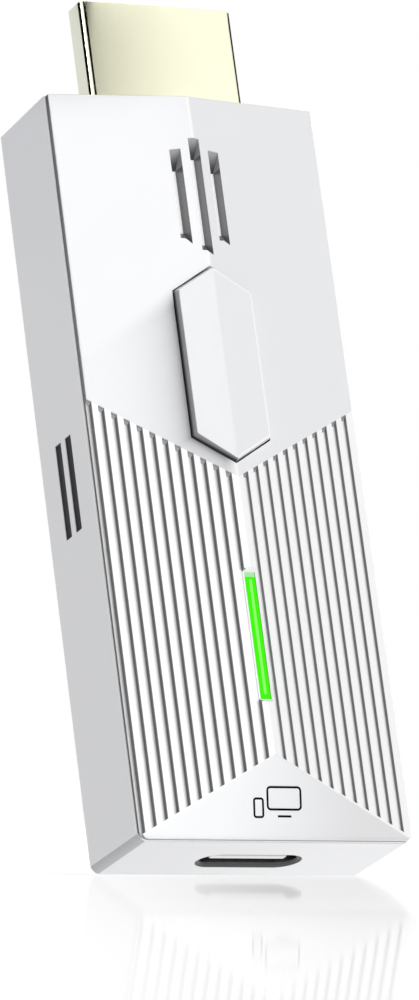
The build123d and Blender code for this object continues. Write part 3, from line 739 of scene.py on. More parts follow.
def ring(radius, x, y, z, steps=24):
    """A circle in x and z round a point, at one depth."""
    turns = [2 * math.pi * k / steps for k in range(steps)]
    return [(x + radius * math.cos(turn), y, z + radius * math.sin(turn)) for turn in turns]


def rounded(corners, radii, segments=6):
    """An outline in two coordinates with each corner replaced by an arc."""
    points = []
    for i, corner in enumerate(corners):
        here = Vector(corner)
        before = (Vector(corners[i - 1]) - here).normalized()
        after = (Vector(corners[(i + 1) % len(corners)]) - here).normalized()
        half = before.angle(after) / 2
        reach = radii[i] / math.tan(half)
        centre = here + (before + after).normalized() * (radii[i] / math.sin(half))
        start, end = here + before * reach - centre, here + after * reach - centre
        sweep = start.angle_signed(end)
        for k in range(segments + 1):
            turned = Matrix.Rotation(-sweep * k / segments, 2) @ start
            points.append(centre + turned)
    return points


def inset(points, amount):
    """The same outline moved inwards, which is to the left of its direction, by an amount."""
    moved = []
    for i, point in enumerate(points):
        before = (point - points[i - 1]).normalized()
        after = (points[(i + 1) % len(points)] - point).normalized()
        side_before, side_after = Vector((-before.y, before.x)), Vector((-after.y, after.x))
        middle = (side_before + side_after).normalized()
        moved.append(point + middle * (amount / max(middle.dot(side_after), 0.2)))
    return moved


def arc(radius, steps):
    """Pairs of a distance inwards and a distance back, round a quarter of an edge."""
    turns = [math.pi / 2 * k / steps for k in range(steps + 1)]
    return [(radius * (1 - math.cos(turn)), radius * (1 - math.sin(turn))) for turn in turns]


def prism(outline, y_start, y_end):
    """A closed solid from an outline in x and z, between two depths."""
    bm = bmesh.new()
    loft(bm, [at_depth(outline, y) for y in (y_start, y_end)])
    bmesh.ops.recalc_face_normals(bm, faces=bm.faces)
    return bm


def box_into(bm, corner, opposite):
    """Add a box between any two opposite corners to a bmesh."""
    low, high = zip(*(sorted(pair) for pair in zip(corner, opposite)))
    flat = rectangle(*low[:2], *high[:2])
    loft(bm, [at_height(flat, z) for z in (low[2], high[2])])


def slice_off(bm, place, outwards):
    """Cut away what lies on the outer side of a plane, and close the cut."""
    geometry = bm.verts[:] + bm.edges[:] + bm.faces[:]
    inputs = {"geom": geometry, "plane_co": place, "plane_no": outwards, "clear_outer": True}
    fresh = bmesh.ops.bisect_plane(bm, **inputs)["geom_cut"]
    bmesh.ops.contextual_create(bm, geom=[e for e in fresh if isinstance(e, bmesh.types.BMEdge)])


def round_edges(bm, chosen, width, segments):
    """Round the edges that a test picks. The test gets an edge, its middle and its angle in degrees."""
    bm.normal_update()
    edges = []
    for edge in bm.edges:
        middle = (edge.verts[0].co + edge.verts[1].co) / 2
        if len(edge.link_faces) == 2 and chosen(edge, middle, math.degrees(edge.calc_face_angle(0))):
            edges.append(edge)
    bmesh.ops.bevel(bm, geom=edges, offset=width, segments=segments, profile=0.5, affect="EDGES")
    return len(edges)


def boolean(mesh, cutter_bm, name):
    """Cut a bmesh out of a mesh with a Boolean modifier."""
    cutter = put(name, mesh_from(cutter_bm, name))
    item = put(name + "_base", mesh)
    modifier = item.modifiers.new(name, "BOOLEAN")
    modifier.operation = "DIFFERENCE"
    modifier.solver = "EXACT"
    modifier.object = cutter
    result = evaluated(item)
    bpy.data.objects.remove(cutter)
    return result


print("mesh helpers ready")

# %% [markdown]
# ## Geometry Nodes, written as Python
# Ribs, vents and contacts repeat by a rule, so trees make them. Each tree has its sizes as named
# inputs. A modifier stores its inputs under identifiers such as Socket_2, not under their names,
# so the helper keeps both, and sets them before Blender works the object out for the first time.

# %% A tree with named inputs
def start_tree(name, sizes):
    """A geometry tree whose inputs are a mesh, a material and the sizes, each a plain number."""
    tree = bpy.data.node_groups.new(name, "GeometryNodeTree")
    face = tree.interface
    face.new_socket("Mesh", in_out="OUTPUT", socket_type="NodeSocketGeometry")
    face.new_socket("Mesh", in_out="INPUT", socket_type="NodeSocketGeometry")
    face.new_socket("Material", in_out="INPUT", socket_type="NodeSocketMaterial")
    for size, value in sizes.items():
        kind = "NodeSocketInt" if isinstance(value, int) else "NodeSocketFloat"
        face.new_socket(size, in_out="INPUT", socket_type=kind)
    start = tree.nodes.new("NodeGroupInput")
    return SimpleNamespace(
        tree=tree,
        mesh=Wire(start.outputs["Mesh"]),
        material=Wire(start.outputs["Material"]),
        size={size: Wire(start.outputs[size]) for size in sizes},
    )


def end_tree(made, mesh):
    """Turn instances into plain mesh, give it its material and lead it out."""
    real = add(made.tree, "GeometryNodeRealizeInstances", inputs={0: mesh})
    done = add(made.tree, "GeometryNodeSetMaterial", inputs={"Geometry": real, "Material": made.material})
    plug_in(made.tree.nodes.new("NodeGroupOutput").inputs["Mesh"], done)


def run_tree(made, mesh, material, sizes):
    """Run a tree on a mesh with these sizes, and return the plain mesh that it makes."""
    item = put(made.tree.name, mesh)
    modifier = item.modifiers.new(made.tree.name, "NODES")
    modifier.node_group = made.tree
    sockets = made.tree.interface.items_tree
    identifiers = {socket.name: socket.identifier for socket in sockets if socket.in_out == "INPUT"}
    modifier[identifiers["Material"]] = material
    for size, value in sizes.items():
        modifier[identifiers[size]] = value
    return evaluated(item)


def store(made, mesh, name, kind, value):
    """Keep a value of each point of a mesh under a name."""
    settings = {"data_type": kind, "domain": "POINT"}
    inputs = {"Geometry": mesh, "Name": name, "Value": value}
    return add(made.tree, "GeometryNodeStoreNamedAttribute", settings, inputs)


def stored(made, name, kind):
    """Read a value that an earlier node stored."""
    return add(made.tree, "GeometryNodeInputNamedAttribute", {"data_type": kind}, {"Name": name})


def spots(made, count, first, pitch):
    """A row of points along x. Each keeps its own x, which its copy of the mesh inherits."""
    inputs = {"Count": count, "Start Location": vector_of(first, 0, 0), "Offset": vector_of(pitch, 0, 0)}
    row = add(made.tree, "GeometryNodeMeshLine", inputs=inputs)
    place = add(made.tree, "GeometryNodeInputPosition")
    return store(made, row, "middle", "FLOAT", split(place)[0])


def blocks(made, points, columns=2, levels=2):
    """One unit block on each point: the mesh, the x of its point, and its own place from -0.5 to 0.5."""
    inputs = {"Size": (1.0, 1.0, 1.0), "Vertices X": columns, "Vertices Y": 2, "Vertices Z": levels}
    block = add(made.tree, "GeometryNodeMeshCube", inputs=inputs)
    place = add(made.tree, "GeometryNodeInputPosition")
    block = store(made, block, "local", "FLOAT_VECTOR", place)
    copies = add(made.tree, "GeometryNodeInstanceOnPoints", inputs={"Points": points, "Instance": block})
    mesh = add(made.tree, "GeometryNodeRealizeInstances", inputs={0: copies})
    return mesh, stored(made, "middle", "FLOAT"), *split(stored(made, "local", "FLOAT_VECTOR"))


def placed(made, mesh, x, y, z):
    """Move every point of a mesh to x, y, z."""
    inputs = {"Geometry": mesh, "Position": vector_of(x, y, z)}
    return add(made.tree, "GeometryNodeSetPosition", inputs=inputs)


def joined(made, *meshes):
    """One mesh from several."""
    node = made.tree.nodes.new("GeometryNodeJoinGeometry")
    for mesh in meshes:
        made.tree.links.new(mesh.socket, node.inputs[0])
    return Wire(node.outputs[0])


def cut(made, mesh, cutters):
    """Take the cutters away from a mesh, with the solver that copes with faces that touch."""
    settings = {"operation": "DIFFERENCE", "solver": "EXACT"}
    return add(made.tree, "GeometryNodeMeshBoolean", settings, {"Mesh 1": mesh, "Mesh 2": cutters})


print("tree helpers ready")

# %% [markdown]
# ## The ribbed cover
# The front shell is a shallow roof with a flat facet at its lower end. Its ribs are what is left
# between grooves, which start on a line beside the facet and end on a V. They could be drawn one by
# one, but they follow a rule: equal steps from the middle, and ends that depend only on the step. So
# a plain blank comes first, and a tree cuts the grooves out of it.

# %% Blank of the cover
cover_corner, sharp_corner = 0.7, 0.06
soft_edge, rim_edge = 0.08, 0.07
clear_front = ridge_y - 1.0

corners = rectangle(-cover_half, cover_low.z, cover_half, cover_high.z)
outline = rounded(corners, [cover_corner, cover_corner, sharp_corner, sharp_corner])
bm = prism(outline, seam_y, clear_front)
ridge = Vector((0, ridge_y, facet_top))
for outwards in ((-roof_slope, -1, 0), (roof_slope, -1, 0), (0, -facet_height, -ridge_rise)):
    slice_off(bm, ridge, outwards)


def on_fold(edge, at, angle):
    """True on the ridge and round the facet."""
    return 5 < angle < 20 and at.y < side_front_y - 0.05


def on_rim(edge, at, angle):
    """True round the outer edge of the front."""
    return angle > 60 and at.y < seam_y - 0.2


soft = round_edges(bm, on_fold, soft_edge, 3)
rim = round_edges(bm, on_rim, rim_edge, 3)
blank = mesh_from(bm, "cover_blank")
print("blank:", len(blank.polygons), "faces,", soft, "soft edges and", rim, "rim edges rounded")

# %% [markdown]
# A groove's floor is not flat. A cutter for this pattern has a rounded nose, so the wall turns
# into the floor, and the shade runs softly across each groove. The block on each point is bent to that
# shape: `across` is its own place from -0.5 to 0.5, and the depth falls off with its cube. The outer
# half of each block stands proud of the roof, so that no face of the cutter lies in a face of the blank.

# %% Tree for the grooves
groove_ramp, groove_proud = 0.4, 0.8
hip_gap, hip_gap_gain = 0.07, 0.23
groove_sizes = {
    "left": left_count, "left first": left_first, "left pitch": left_pitch,
    "right": right_count, "right first": right_first, "right pitch": right_pitch,
    "width": groove_width, "depth": groove_depth, "ramp": groove_ramp,
    "ridge": ridge_y, "roof slope": roof_slope,
    "hip": facet_top + hip_gap, "hip slope": (hip_gap_gain - facet_height) / cover_half,
    "valley": valley_low, "valley slope": valley_rise / cover_half,
}
grooves = start_tree("grooves", groove_sizes)
size = grooves.size
right_row = spots(grooves, size["right"], size["right first"], size["right pitch"])
left_row = spots(grooves, size["left"], -size["left first"], -size["left pitch"])
row = joined(grooves, right_row, left_row)
bits, middle, across, inner, upper = blocks(grooves, row, columns=11)
x = middle + across * size["width"]
edge = abs(across) * 2
inside = step(inner, -0.1, 0.1)
depth = inside * (1 - edge * edge * edge) * size["depth"] - (1 - inside) * groove_proud
y = size["ridge"] + abs(middle) * size["roof slope"] + depth
top = size["valley"] + abs(x) * size["valley slope"] - depth * size["ramp"] / size["depth"]
bottom = size["hip"] + abs(x) * size["hip slope"]
z = bottom + step(upper, -0.1, 0.1) * (top - bottom)
end_tree(grooves, cut(grooves, grooves.mesh, placed(grooves, bits, x, y, z)))

ribbed = run_tree(grooves, blank, cover_white, groove_sizes)
print("ribbed:", len(ribbed.polygons), "faces after", left_count + right_count, "grooves")

# %% [markdown]
# The three vent recesses are blind pockets with ramps at both ends, and the lower ends slant to one
# side. The same block on a point serves, with another rule for its corners.

# %% Tree for the vents
vent_proud = 1.0
vent_sizes = {
    "count": 3, "pitch": vent_pitch, "width": vent_width, "depth": vent_depth, "step": vent_step,
    "slant": vent_slant, "ramp high": vent_ramp_high, "ramp low": vent_ramp_low,
    "low": vent_low - vent_extra, "high": vent_high, "ridge": ridge_y, "roof slope": roof_slope,
}
vents = start_tree("vents", vent_sizes)
size = vents.size
row = spots(vents, size["count"], -size["pitch"], size["pitch"])
bits, middle, across, inner, upper = blocks(vents, row)
x = middle + across * size["width"]
inside = step(inner, -0.1, 0.1)
outer_x = abs(middle) + size["width"] / 2
y = size["ridge"] + outer_x * size["roof slope"] + inside * size["depth"] - (1 - inside) * vent_proud
stepped = size["step"] * abs(middle) / size["pitch"]
slanted = size["low"] + stepped - across * size["width"] * size["slant"]
foot_low = size["low"] + stepped + size["slant"] * size["width"] / 2 + size["ramp low"]
run_low = (foot_low - slanted) * vent_proud / size["depth"]
bottom = inside * foot_low + (1 - inside) * (slanted - run_low)
run_high = size["ramp high"] * vent_proud / size["depth"]
top = size["high"] - stepped - inside * size["ramp high"] + (1 - inside) * run_high
z = bottom + step(upper, -0.1, 0.1) * (top - bottom)
end_tree(vents, cut(vents, vents.mesh, placed(vents, bits, x, y, z)))

vented = run_tree(vents, ribbed, cover_white, vent_sizes)
print("vented:", len(vented.polygons), "faces")

# %% Openings for the button and the light bar
button_gap, channel_half = 0.12, 0.735


def hexagon(grow=0.0):
    """Outline of the button in x and z, with straight sides and a point at each end."""
    half = button_width / 2 + grow
    lean = math.hypot(button_tip, button_width / 2) / (button_width / 2)
    tip = button_length / 2 + grow * lean
    side = tip - button_tip * half / (button_width / 2)
    points = [(0, -tip), (half, -side), (half, side), (0, tip), (-half, side), (-half, -side)]
    return [(x, z + button_middle) for x, z in points]


bm = bmesh.new()
front_y, flare = ridge_y - groove_depth, 2 * groove_depth
profile = [
    (groove_floor_y, light_bottom), (groove_floor_y, light_top),
    (front_y, light_top + flare), (front_y, light_bottom - flare),
]
loft(bm, [[(x, y, z) for y, z in profile] for x in (-channel_half, channel_half)])
opened = boolean(vented, bm, "channel")
slot = rectangle(-light_width / 2, light_bottom, light_width / 2, light_top)
opened = boolean(opened, prism(slot, seam_y + 1, clear_front), "light_hole")
opened = boolean(opened, prism(hexagon(button_gap), seam_y + 1, clear_front), "button_hole")
print("opened:", len(opened.polygons), "faces")

# %% Rounded rims and the lips with their hooks, then the finished cover
merging = 0.0005
bm = bmesh_of(opened, merging)
hole = hexagon(button_gap)
hole_low, hole_high = hole[0][1] - button_gap, hole[3][1] + button_gap


def on_button_rim(edge, at, angle):
    """True on the edge where the button's opening meets the roof."""
    around = abs(at.x) < button_width / 2 + 2 * button_gap and hole_low < at.z < hole_high
    return around and abs(at.y - roof(at.x)) < 0.03 and angle > 60


button_rim_edge = 0.04
rim = round_edges(bm, on_button_rim, button_rim_edge, 2)
lip_inset, lip_thick, lip_depth, lip_end = 1.3, 0.8, 1.4, 4.3
lip_outer = half_width - lip_inset
hook_low, hook_high = seam_y + 0.55, seam_y + 1.15
hook_proud, hook_half, hook_end = 0.3, 2.0, 7.0
hook_places = (hook_end, house_high.z / 2, house_high.z - hook_end)
sunk = 0.1
for side in (-1, 1):
    inner_end = (side * (lip_outer - lip_thick), seam_y + lip_depth, house_high.z - lip_end)
    box_into(bm, (side * lip_outer, seam_y - sunk, lip_end), inner_end)
    hook = [(lip_outer - sunk, hook_low), (lip_outer + hook_proud, hook_low),
            (lip_outer, hook_high), (lip_outer - sunk, hook_high)]
    for place in hook_places:
        loft(bm, [[(side * x, y, z) for x, y in hook] for z in (place - hook_half, place + hook_half)])
piece_from(bm, "ribbed_cover", "white_shell", "front_cover", material=cover_white)
print("cover rim edges:", rim)

# %% [markdown]
# ## The rear housing
# The housing is a tray: back, sides and both ends in one moulding. A loft draws it in one go. Its
# loops start at the rounded edge of the back, climb the outside, turn over the rim and run down the
# inside to the floor. All openings are then cut by one Boolean, and their edges are broken, because
# a moulded edge is never knife-sharp and catches a thin line of light.

# %% Tray of the housing
house_corner, house_sharp = 0.8, 0.06
back_round, rim_round = 0.35, 0.08
side_wall, end_wall, back_wall = 1.2, 1.3, 1.2
cavity_corner = 0.3
floor_y = back_y - back_wall


def tray_outline(inwards):
    """Outline of the tray, moved inwards. The arcs of its corners shrink as it goes."""
    half, low, high = half_width - inwards, inwards, house_high.z - inwards
    bottom, top = (max(radius - inwards, 0.02) for radius in (house_corner, house_sharp))
    return rounded(rectangle(-half, low, half, high), [bottom, bottom, top, top])


loops = [at_depth(tray_outline(inwards), back_y - back) for back, inwards in arc(back_round, 6)]
loops += [at_depth(tray_outline(inwards), seam_y + back) for inwards, back in arc(rim_round, 3)]
cavity_half, cavity_high = half_width - side_wall, house_high.z - end_wall
cavity = rounded(rectangle(-cavity_half, end_wall, cavity_half, cavity_high), [cavity_corner] * 4)
loops += [at_depth(cavity, y) for y in (seam_y, floor_y)]
bm = bmesh.new()
loft(bm, loops)
tray = mesh_from(bm, "tray")
print("tray:", len(tray.polygons), "faces, outer depth", round(back_y - seam_y, 2), "mm")

# %% Outlines of the plug and of the socket, which their openings share
plug_low, plug_high = corners_of("plug_shell")
plug_root = corners_of("plug_insulator")[0].z
plug_straight, plug_taper, plug_fillet = 2.34, 1.5, 0.5


def plug_outline(inwards=0.0):
    """The D shape of the video plug in x and y: wide in front, narrow behind."""
    half, shoulder = plug_high.x, plug_low.y + plug_straight
    corners = [
        (-half, plug_low.y), (half, plug_low.y), (half, shoulder),
        (half - plug_taper, plug_high.y), (plug_taper - half, plug_high.y), (-half, shoulder),
    ]
    return inset(rounded(corners, [plug_fillet] * 6, 10), inwards)


def socket_outline(inwards=0.0, steps=20):
    """Two half circles joined by straight sides, in x and y."""
    radius, reach = socket_radius - inwards, socket_high.x - socket_radius
    points = []
    for side in (1, -1):
        for k in range(steps + 1):
            turn = math.pi * k / steps - side * math.pi / 2
            points.append((side * reach + radius * math.cos(turn), socket_y + radius * math.sin(turn)))
    return points


print("plug", round(plug_high.x * 2, 2), "mm wide, socket", round(socket_high.x * 2, 2), "mm wide")

# %% Openings of the housing
slot_apart, slot_half = 0.955, 0.525
hook_room, plug_room, touching = 0.06, 0.06, 0.02
openings = bmesh.new()
for y in (slot_middle_y - slot_apart, slot_middle_y + slot_apart):
    low = (-half_width - 1, y - slot_half, slot_low)
    box_into(openings, low, (half_width + 1, y + slot_half, slot_high))
reach = lip_outer + hook_proud + hook_room
for place in hook_places:
    low, high = place - hook_half - hook_room, place + hook_half + hook_room
    box_into(openings, (-reach, hook_low - hook_room, low), (reach, hook_high + hook_room, high))
loft(openings, [at_height(plug_outline(-plug_room), z) for z in (cavity_high - 0.1, house_high.z + 1)])
loft(openings, [at_height(socket_outline(-touching), z) for z in (-1, end_wall + 0.1)])
opened = boolean(tray, openings, "housing_openings")
print("housing opened:", len(opened.polygons), "faces")

# %% Broken edges, bosses, and the finished housing
bm = bmesh_of(opened, merging)
broken_edge, socket_edge, hair = 0.06, 0.15, 0.001


def lies(values, level):
    """True where all values are within a hair of one level."""
    return all(abs(value - level) < hair for value in values)


def on_opening(edge, at, angle):
    """True on the outer edges of the side slots and of the plug's opening."""
    beside_slots = abs(at.y - slot_middle_y) < 2 and slot_low - 0.1 < at.z < slot_high + 0.1
    on_side = beside_slots and lies((abs(v.co.x) for v in edge.verts), half_width)
    by_plug = abs(at.x) < 8 and -2.5 < at.y < 3
    on_top = by_plug and lies((v.co.z for v in edge.verts), house_high.z)
    return angle > 60 and (on_side or on_top)


def on_socket(edge, at, angle):
    """True on the edge of the socket's opening."""
    near = abs(at.x) < 5 and abs(at.y - socket_y) < 2
    return angle > 60 and near and lies((v.co.z for v in edge.verts), 0)


broken = round_edges(bm, on_opening, broken_edge, 2) + round_edges(bm, on_socket, socket_edge, 3)
board_low, board_high = corners_of("main_board")
boss_radius, boss_inset, boss_gap, screw_hole, screw_depth = 1.7, 2.4, 0.3, 0.72, 2.22
for side in (-1, 1):
    x = side * (board_high.x - boss_inset)
    low_z, high_z = board_low.z + boss_inset, plug_root - boss_gap - boss_inset
    tube = [(boss_radius, floor_y + sunk), (boss_radius, board_high.y), (screw_hole, board_high.y),
            (screw_hole, board_high.y + screw_depth)]
    loft(bm, [ring(radius, x, y, low_z) for radius, y in tube])
    loft(bm, [ring(radius, x, y, high_z) for radius, y in tube[:2]])
piece_from(bm, "moulded_housing", "white_shell", "rear_housing")
print("broken edges:", broken)

# %% [markdown]
# ## The push button
# The button is the one piece that moves: a six-sided cap that leans inwards by 14 degrees, with a low
# crown and a rim behind the cover that keeps it in. Its outline never changes its number of points,
# so one loft runs from the rim to the crown. It rides on the frame's body named button.

# %% The button
button_rim, button_corner, button_round = 0.78, 0.3, 0.12
flange_front, flange_thick = seam_y + 0.02, 0.42
draft_height, draft = 0.55, math.tan(math.radians(14))
button_crown, crease_edge, post_radius = 0.1, 0.05, 1.2
draft_y = button_low_corner.y + draft_height
corner_steps = 8


def button_loop(grow, y=None, under=0.0):
    """The button's outline at one depth, or at a distance under its crown."""
    outline = rounded(hexagon(grow), [button_corner] * 6, corner_steps)
    if y is not None:
        return at_depth(outline, y)
    crown, fall = button_low_corner.y + under, button_crown / (button_width / 2)
    return [(x, crown + fall * abs(x), z) for x, z in outline]


loops = [
    button_loop(button_rim, flange_front + flange_thick), button_loop(button_rim, flange_front),
    button_loop(0, flange_front), button_loop(0, draft_y),
]
leaned = draft * (draft_height - button_round)
loops += [button_loop(-leaned - inwards, under=back) for inwards, back in arc(button_round, 5)]
bm = bmesh.new()
rings = loft(bm, loops, ends="open")
bm.faces.new(reversed(rings[0]))
crown_rim = rings[-1]
lower_tip, upper_tip = corner_steps // 2, 3 * (corner_steps + 1) + corner_steps // 2
bm.faces.new(crown_rim[lower_tip:upper_tip + 1])
bm.faces.new(crown_rim[upper_tip:] + crown_rim[:lower_tip + 1])


def on_crease(edge, at, angle):
    """True on the line along the middle of the crown."""
    return abs(at.x) < 0.01 and 1 < angle < 6 and edge.calc_length() > 9


creased = round_edges(bm, on_crease, crease_edge, 1)
post_ends = (flange_front + flange_thick - sunk, button_high_corner.y)
loft(bm, [ring(post_radius, 0, y, button_middle) for y in post_ends])
piece_from(bm, "hexagon_button", "white_button", "button_cap", body="button")
print("button:", creased, "crease, travel along y")

# %% [markdown]
# ## The light bar
# A clear pipe stands in a hole of the cover, level with the groove floors, and is glued behind it by
# a flange. Its front edge is rounded a little, which draws a bright line round the green.

# %% The light bar
def bar_loop(grow, y):
    """The bar's outline at one depth."""
    half, out = light_width / 2 - touching + grow, grow - touching
    return at_depth(rectangle(-half, light_bottom - out, half, light_top + out), y)


bar_flange_thick, bar_round = 0.5, 0.07
flange = light_flange + touching
bm = bmesh.new()
flange_back = seam_y + bar_flange_thick
loft(bm, [
    bar_loop(0, bar_high.y), bar_loop(0, flange_back), bar_loop(flange, flange_back),
    bar_loop(flange, seam_y), bar_loop(0, seam_y),
    *(bar_loop(-inwards, groove_floor_y + back) for inwards, back in arc(bar_round, 3)),
])
piece_from(bm, "green_light_bar", "light_guide", "light_bar")
print("light bar:", round(light_top - light_bottom, 2), "mm long")

# %% [markdown]
# ## The snap dome
# Under the button's post sits a switch. Its dome is a thin disc of spring steel that stands up like a
# shallow bowl and snaps flat when the plunger presses it. It is turned from a curve round the
# switch's own axis.

# %% The snap dome
dome_low, dome_high = corners_of("switch_dome")
dome_sheet, dome_eye, dome_steps = 0.1, 0.1, 6
dome_rise = dome_high.y - dome_low.y


def dome_loops(under):
    """Rings from the dome's eye to its foot, on its skin or at a depth under it."""
    reach = dome_high.x * math.sqrt(1 - under / dome_rise)
    top = dome_low.y + under
    radii = [dome_eye + (reach - dome_eye) * k / dome_steps for k in range(dome_steps + 1)]
    return [ring(r, 0, top + dome_rise * (r / dome_high.x) ** 2, button_middle) for r in radii]


bm = bmesh.new()
loft(bm, dome_loops(dome_sheet) + dome_loops(0)[::-1])
dome = piece_from(bm, "snap_dome", "shield_steel", "switch_dome")
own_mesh(dome)

# %% [markdown]
# ## The video plug
# The plug's shell is drawn steel, plated. Polished metal shows its shape only by what its rounded
# edges reflect, so they are fine arcs here, and its mouth is rolled over. A loft runs up the
# outside, over the mouth and down the inside, and closes on its first loop. Two latch windows are
# cut in the narrow back.

# %% Shell of the plug
plug_wall, mouth_round = 0.35, 0.12
mouth = arc(mouth_round, 5)
steps = [(0, plug_root), *((inwards, plug_high.z - back) for inwards, back in mouth)]
steps += [(plug_wall - inwards, plug_high.z - back) for inwards, back in reversed(mouth)]
steps += [(plug_wall, plug_root)]
bm = bmesh.new()
loft(bm, [at_height(plug_outline(inwards), z) for inwards, z in steps], ends="joined")
sleeve = mesh_from(bm, "plug_sleeve")
window_half = 0.75
window_z = (house_high.z + plug_high.z) / 2
windows = bmesh.new()
for x in (-plug_high.x / 3, plug_high.x / 3):
    low = (x - window_half, plug_high.y - 2 * plug_wall, window_z - window_half)
    box_into(windows, low, (x + window_half, plug_high.y + 1, window_z + window_half))
pierced = boolean(sleeve, windows, "latch_windows")
bm = bmesh_of(pierced)
tab_long, tab_deep = 3.2, 0.7
for side in (-1, 1):
    outer_end = (side * plug_high.x, board_low.y - tab_deep, plug_root - tab_long)
    box_into(bm, outer_end, (side * (plug_high.x - plug_wall), board_low.y, plug_root + sunk))
piece_from(bm, "plated_plug", "plug_plating", "plug_shell", smooth_angle=35)
print("plug sleeve:", len(pierced.polygons), "faces")

# %% [markdown]
# ## Contacts
# Both connectors hold rows of contacts: 10 and 9 spring blades at a pitch of 1 mm in the plug, 12
# strips at half that on each side of the socket's tongue. One tree makes both. Its inputs are the
# counts, the pitch and the size of a blade, and each blade is narrowed at its tip.

# %% Tree for rows of contacts
def contact_piece(name, replaced, front, back, pitch, width, thick, upwards, nose):
    """A piece of two rows of contacts. They point upwards or downwards from the root to the tip."""
    low, high = corners_of(replaced)
    sizes = {
        "front count": front, "back count": back, "pitch": pitch, "width": width, "thick": thick,
        "front y": low.y + thick / 2, "back y": high.y - thick / 2, "nose": nose,
        "root": low.z if upwards else high.z, "tip": high.z if upwards else low.z,
    }
    rows = start_tree(name, sizes)
    size = rows.size
    made = []
    for count, row_y in (("front count", "front y"), ("back count", "back y")):
        first = (1 - size[count]) * size["pitch"] / 2
        row = spots(rows, size[count], first, size["pitch"])
        blades, middle, across, inner, upper = blocks(rows, row, levels=3)
        at_tip = step(upper, 0.1, 0.4)
        narrow = 1 - at_tip * 0.5
        x = middle + across * size["width"] * narrow
        y = size[row_y] + inner * size["thick"] * narrow
        straight = size["tip"] - size["nose"] - size["root"]
        z = size["root"] + step(upper, -0.4, -0.1) * straight + at_tip * size["nose"]
        made.append(placed(rows, blades, x, y, z))
    end_tree(rows, joined(rows, *made))
    seed = bpy.data.meshes.new(name + "_seed")
    mesh = run_tree(rows, seed, finishes["contact_plating"], sizes)
    piece_from(bmesh_of(mesh), name, "contact_plating", replaced)
    print(name, "has", front + back, "contacts")


contact_piece("plug_blades", "plug_contacts", 10, 9, 1.0, 0.3, 0.15, upwards=True, nose=0.35)
contact_piece("socket_strips", "socket_contacts", 12, 12, 0.5, 0.28, 0.04, upwards=False, nose=-0.2)

# %% [markdown]
# ## The charging socket
# From below, the socket is a dark ring round a white tongue. The ring is the rolled mouth of a steel
# shell. The tongue is moulded on a base that closes the shell at its far end.

# %% Shell and tongue of the socket
socket_wall, mouth_bevel = 0.3, 0.22
steps = [(0, socket_high.z), (0, socket_low.z)]
mouth = reversed(arc(mouth_bevel, 5))
steps += [(socket_wall - inwards, socket_low.z + back) for inwards, back in mouth]
steps += [(socket_wall, socket_high.z)]
bm = bmesh.new()
loft(bm, [at_height(socket_outline(inwards), z) for inwards, z in steps], ends="joined")
piece_from(bm, "rolled_socket", "socket_steel", "socket_shell")

tongue_low = corners_of("socket_tongue")[0]
tongue_half, tongue_thick, tongue_base = 3.345, 0.7, 1.6
nose_round, tongue_corner = 0.14, 0.08


def tongue_loop(inwards, z):
    """The tongue's outline at one height."""
    half, thick = tongue_half - inwards, tongue_thick / 2 - inwards
    corners = rectangle(-half, socket_y - thick, half, socket_y + thick)
    return at_height(rounded(corners, [tongue_corner] * 4, 3), z)


bm = bmesh.new()
base_z = socket_high.z - tongue_base
nose = [tongue_loop(inwards, tongue_low.z + back) for inwards, back in arc(nose_round, 4)]
loft(bm, [tongue_loop(0, base_z + sunk), *nose])
base = socket_outline(socket_wall + touching)
loft(bm, [at_height(base, z) for z in (base_z, socket_high.z)])
piece_from(bm, "socket_tongue_moulding", "white_moulding", "socket_tongue")
print("socket:", round(2 * (socket_high.x - socket_wall), 2), "mm wide inside")

# %% [markdown]
# ## A pictogram on the facet
# The facet carries a small line drawing in dark ink, a plain sign for a picture sent from a hand-held
# screen to a large one: two rounded frames and a foot. Ink is thin, so each line is a strip one
# hundredth of a millimetre proud of the facet.

# %% The printed pictogram
facet_slope = ridge_rise / facet_height
ink_width, ink_proud, ink_sunk = 0.17, 0.01, 0.03


def on_facet(outline, proud):
    """An outline in x and z, laid on the facet."""
    return [(x, ridge_y + (facet_top - z) * facet_slope - proud, z) for x, z in outline]


def frame_of_ink(bm, left, low, right, high, corner):
    """A rounded frame drawn with one line."""
    outer = rounded(rectangle(left, low, right, high), [corner] * 4, 5)
    inner = inset(outer, ink_width)
    sides = ((outer, -ink_sunk), (outer, ink_proud), (inner, ink_proud), (inner, -ink_sunk))
    loft(bm, [on_facet(outline, proud) for outline, proud in sides], ends="joined")


bm = bmesh.new()
frame_of_ink(bm, -0.95, 2.35, 2.15, 4.25, 0.35)
frame_of_ink(bm, -2.15, 1.75, -1.2, 3.35, 0.25)
foot = rectangle(0.0, 1.82, 1.2, 1.99)
loft(bm, [on_facet(foot, proud) for proud in (-ink_sunk, ink_proud)])
piece_from(bm, "printed_pictogram", "black_moulding", material=ink_black)
print("pictogram on a facet of slope", round(facet_slope, 3))

# %% [markdown]
# ## The studio
# The photograph is a white picture: soft light from everywhere, white all round, and a pale glossy
# floor that is lit from below like a light table, so that even the underside of the stick is bright.
# One soft box to the right of the front lifts the roof over the sides.

# %% World and the soft box
world = bpy.data.worlds.new("studio")
scene.world = world
world.use_nodes = True
sky = world.node_tree
sky.nodes.clear()
camera_rays = add(sky, "ShaderNodeLightPath", output="Is Camera Ray")
glossy_rays = camera_rays.beside("Is Glossy Ray")
room_light = 0.38
strength = room_light + (camera_rays + glossy_rays) * (1 - room_light)
background = add(sky, "ShaderNodeBackground", inputs={"Color": grey(1), "Strength": strength})
lead_out(sky, background, "World")


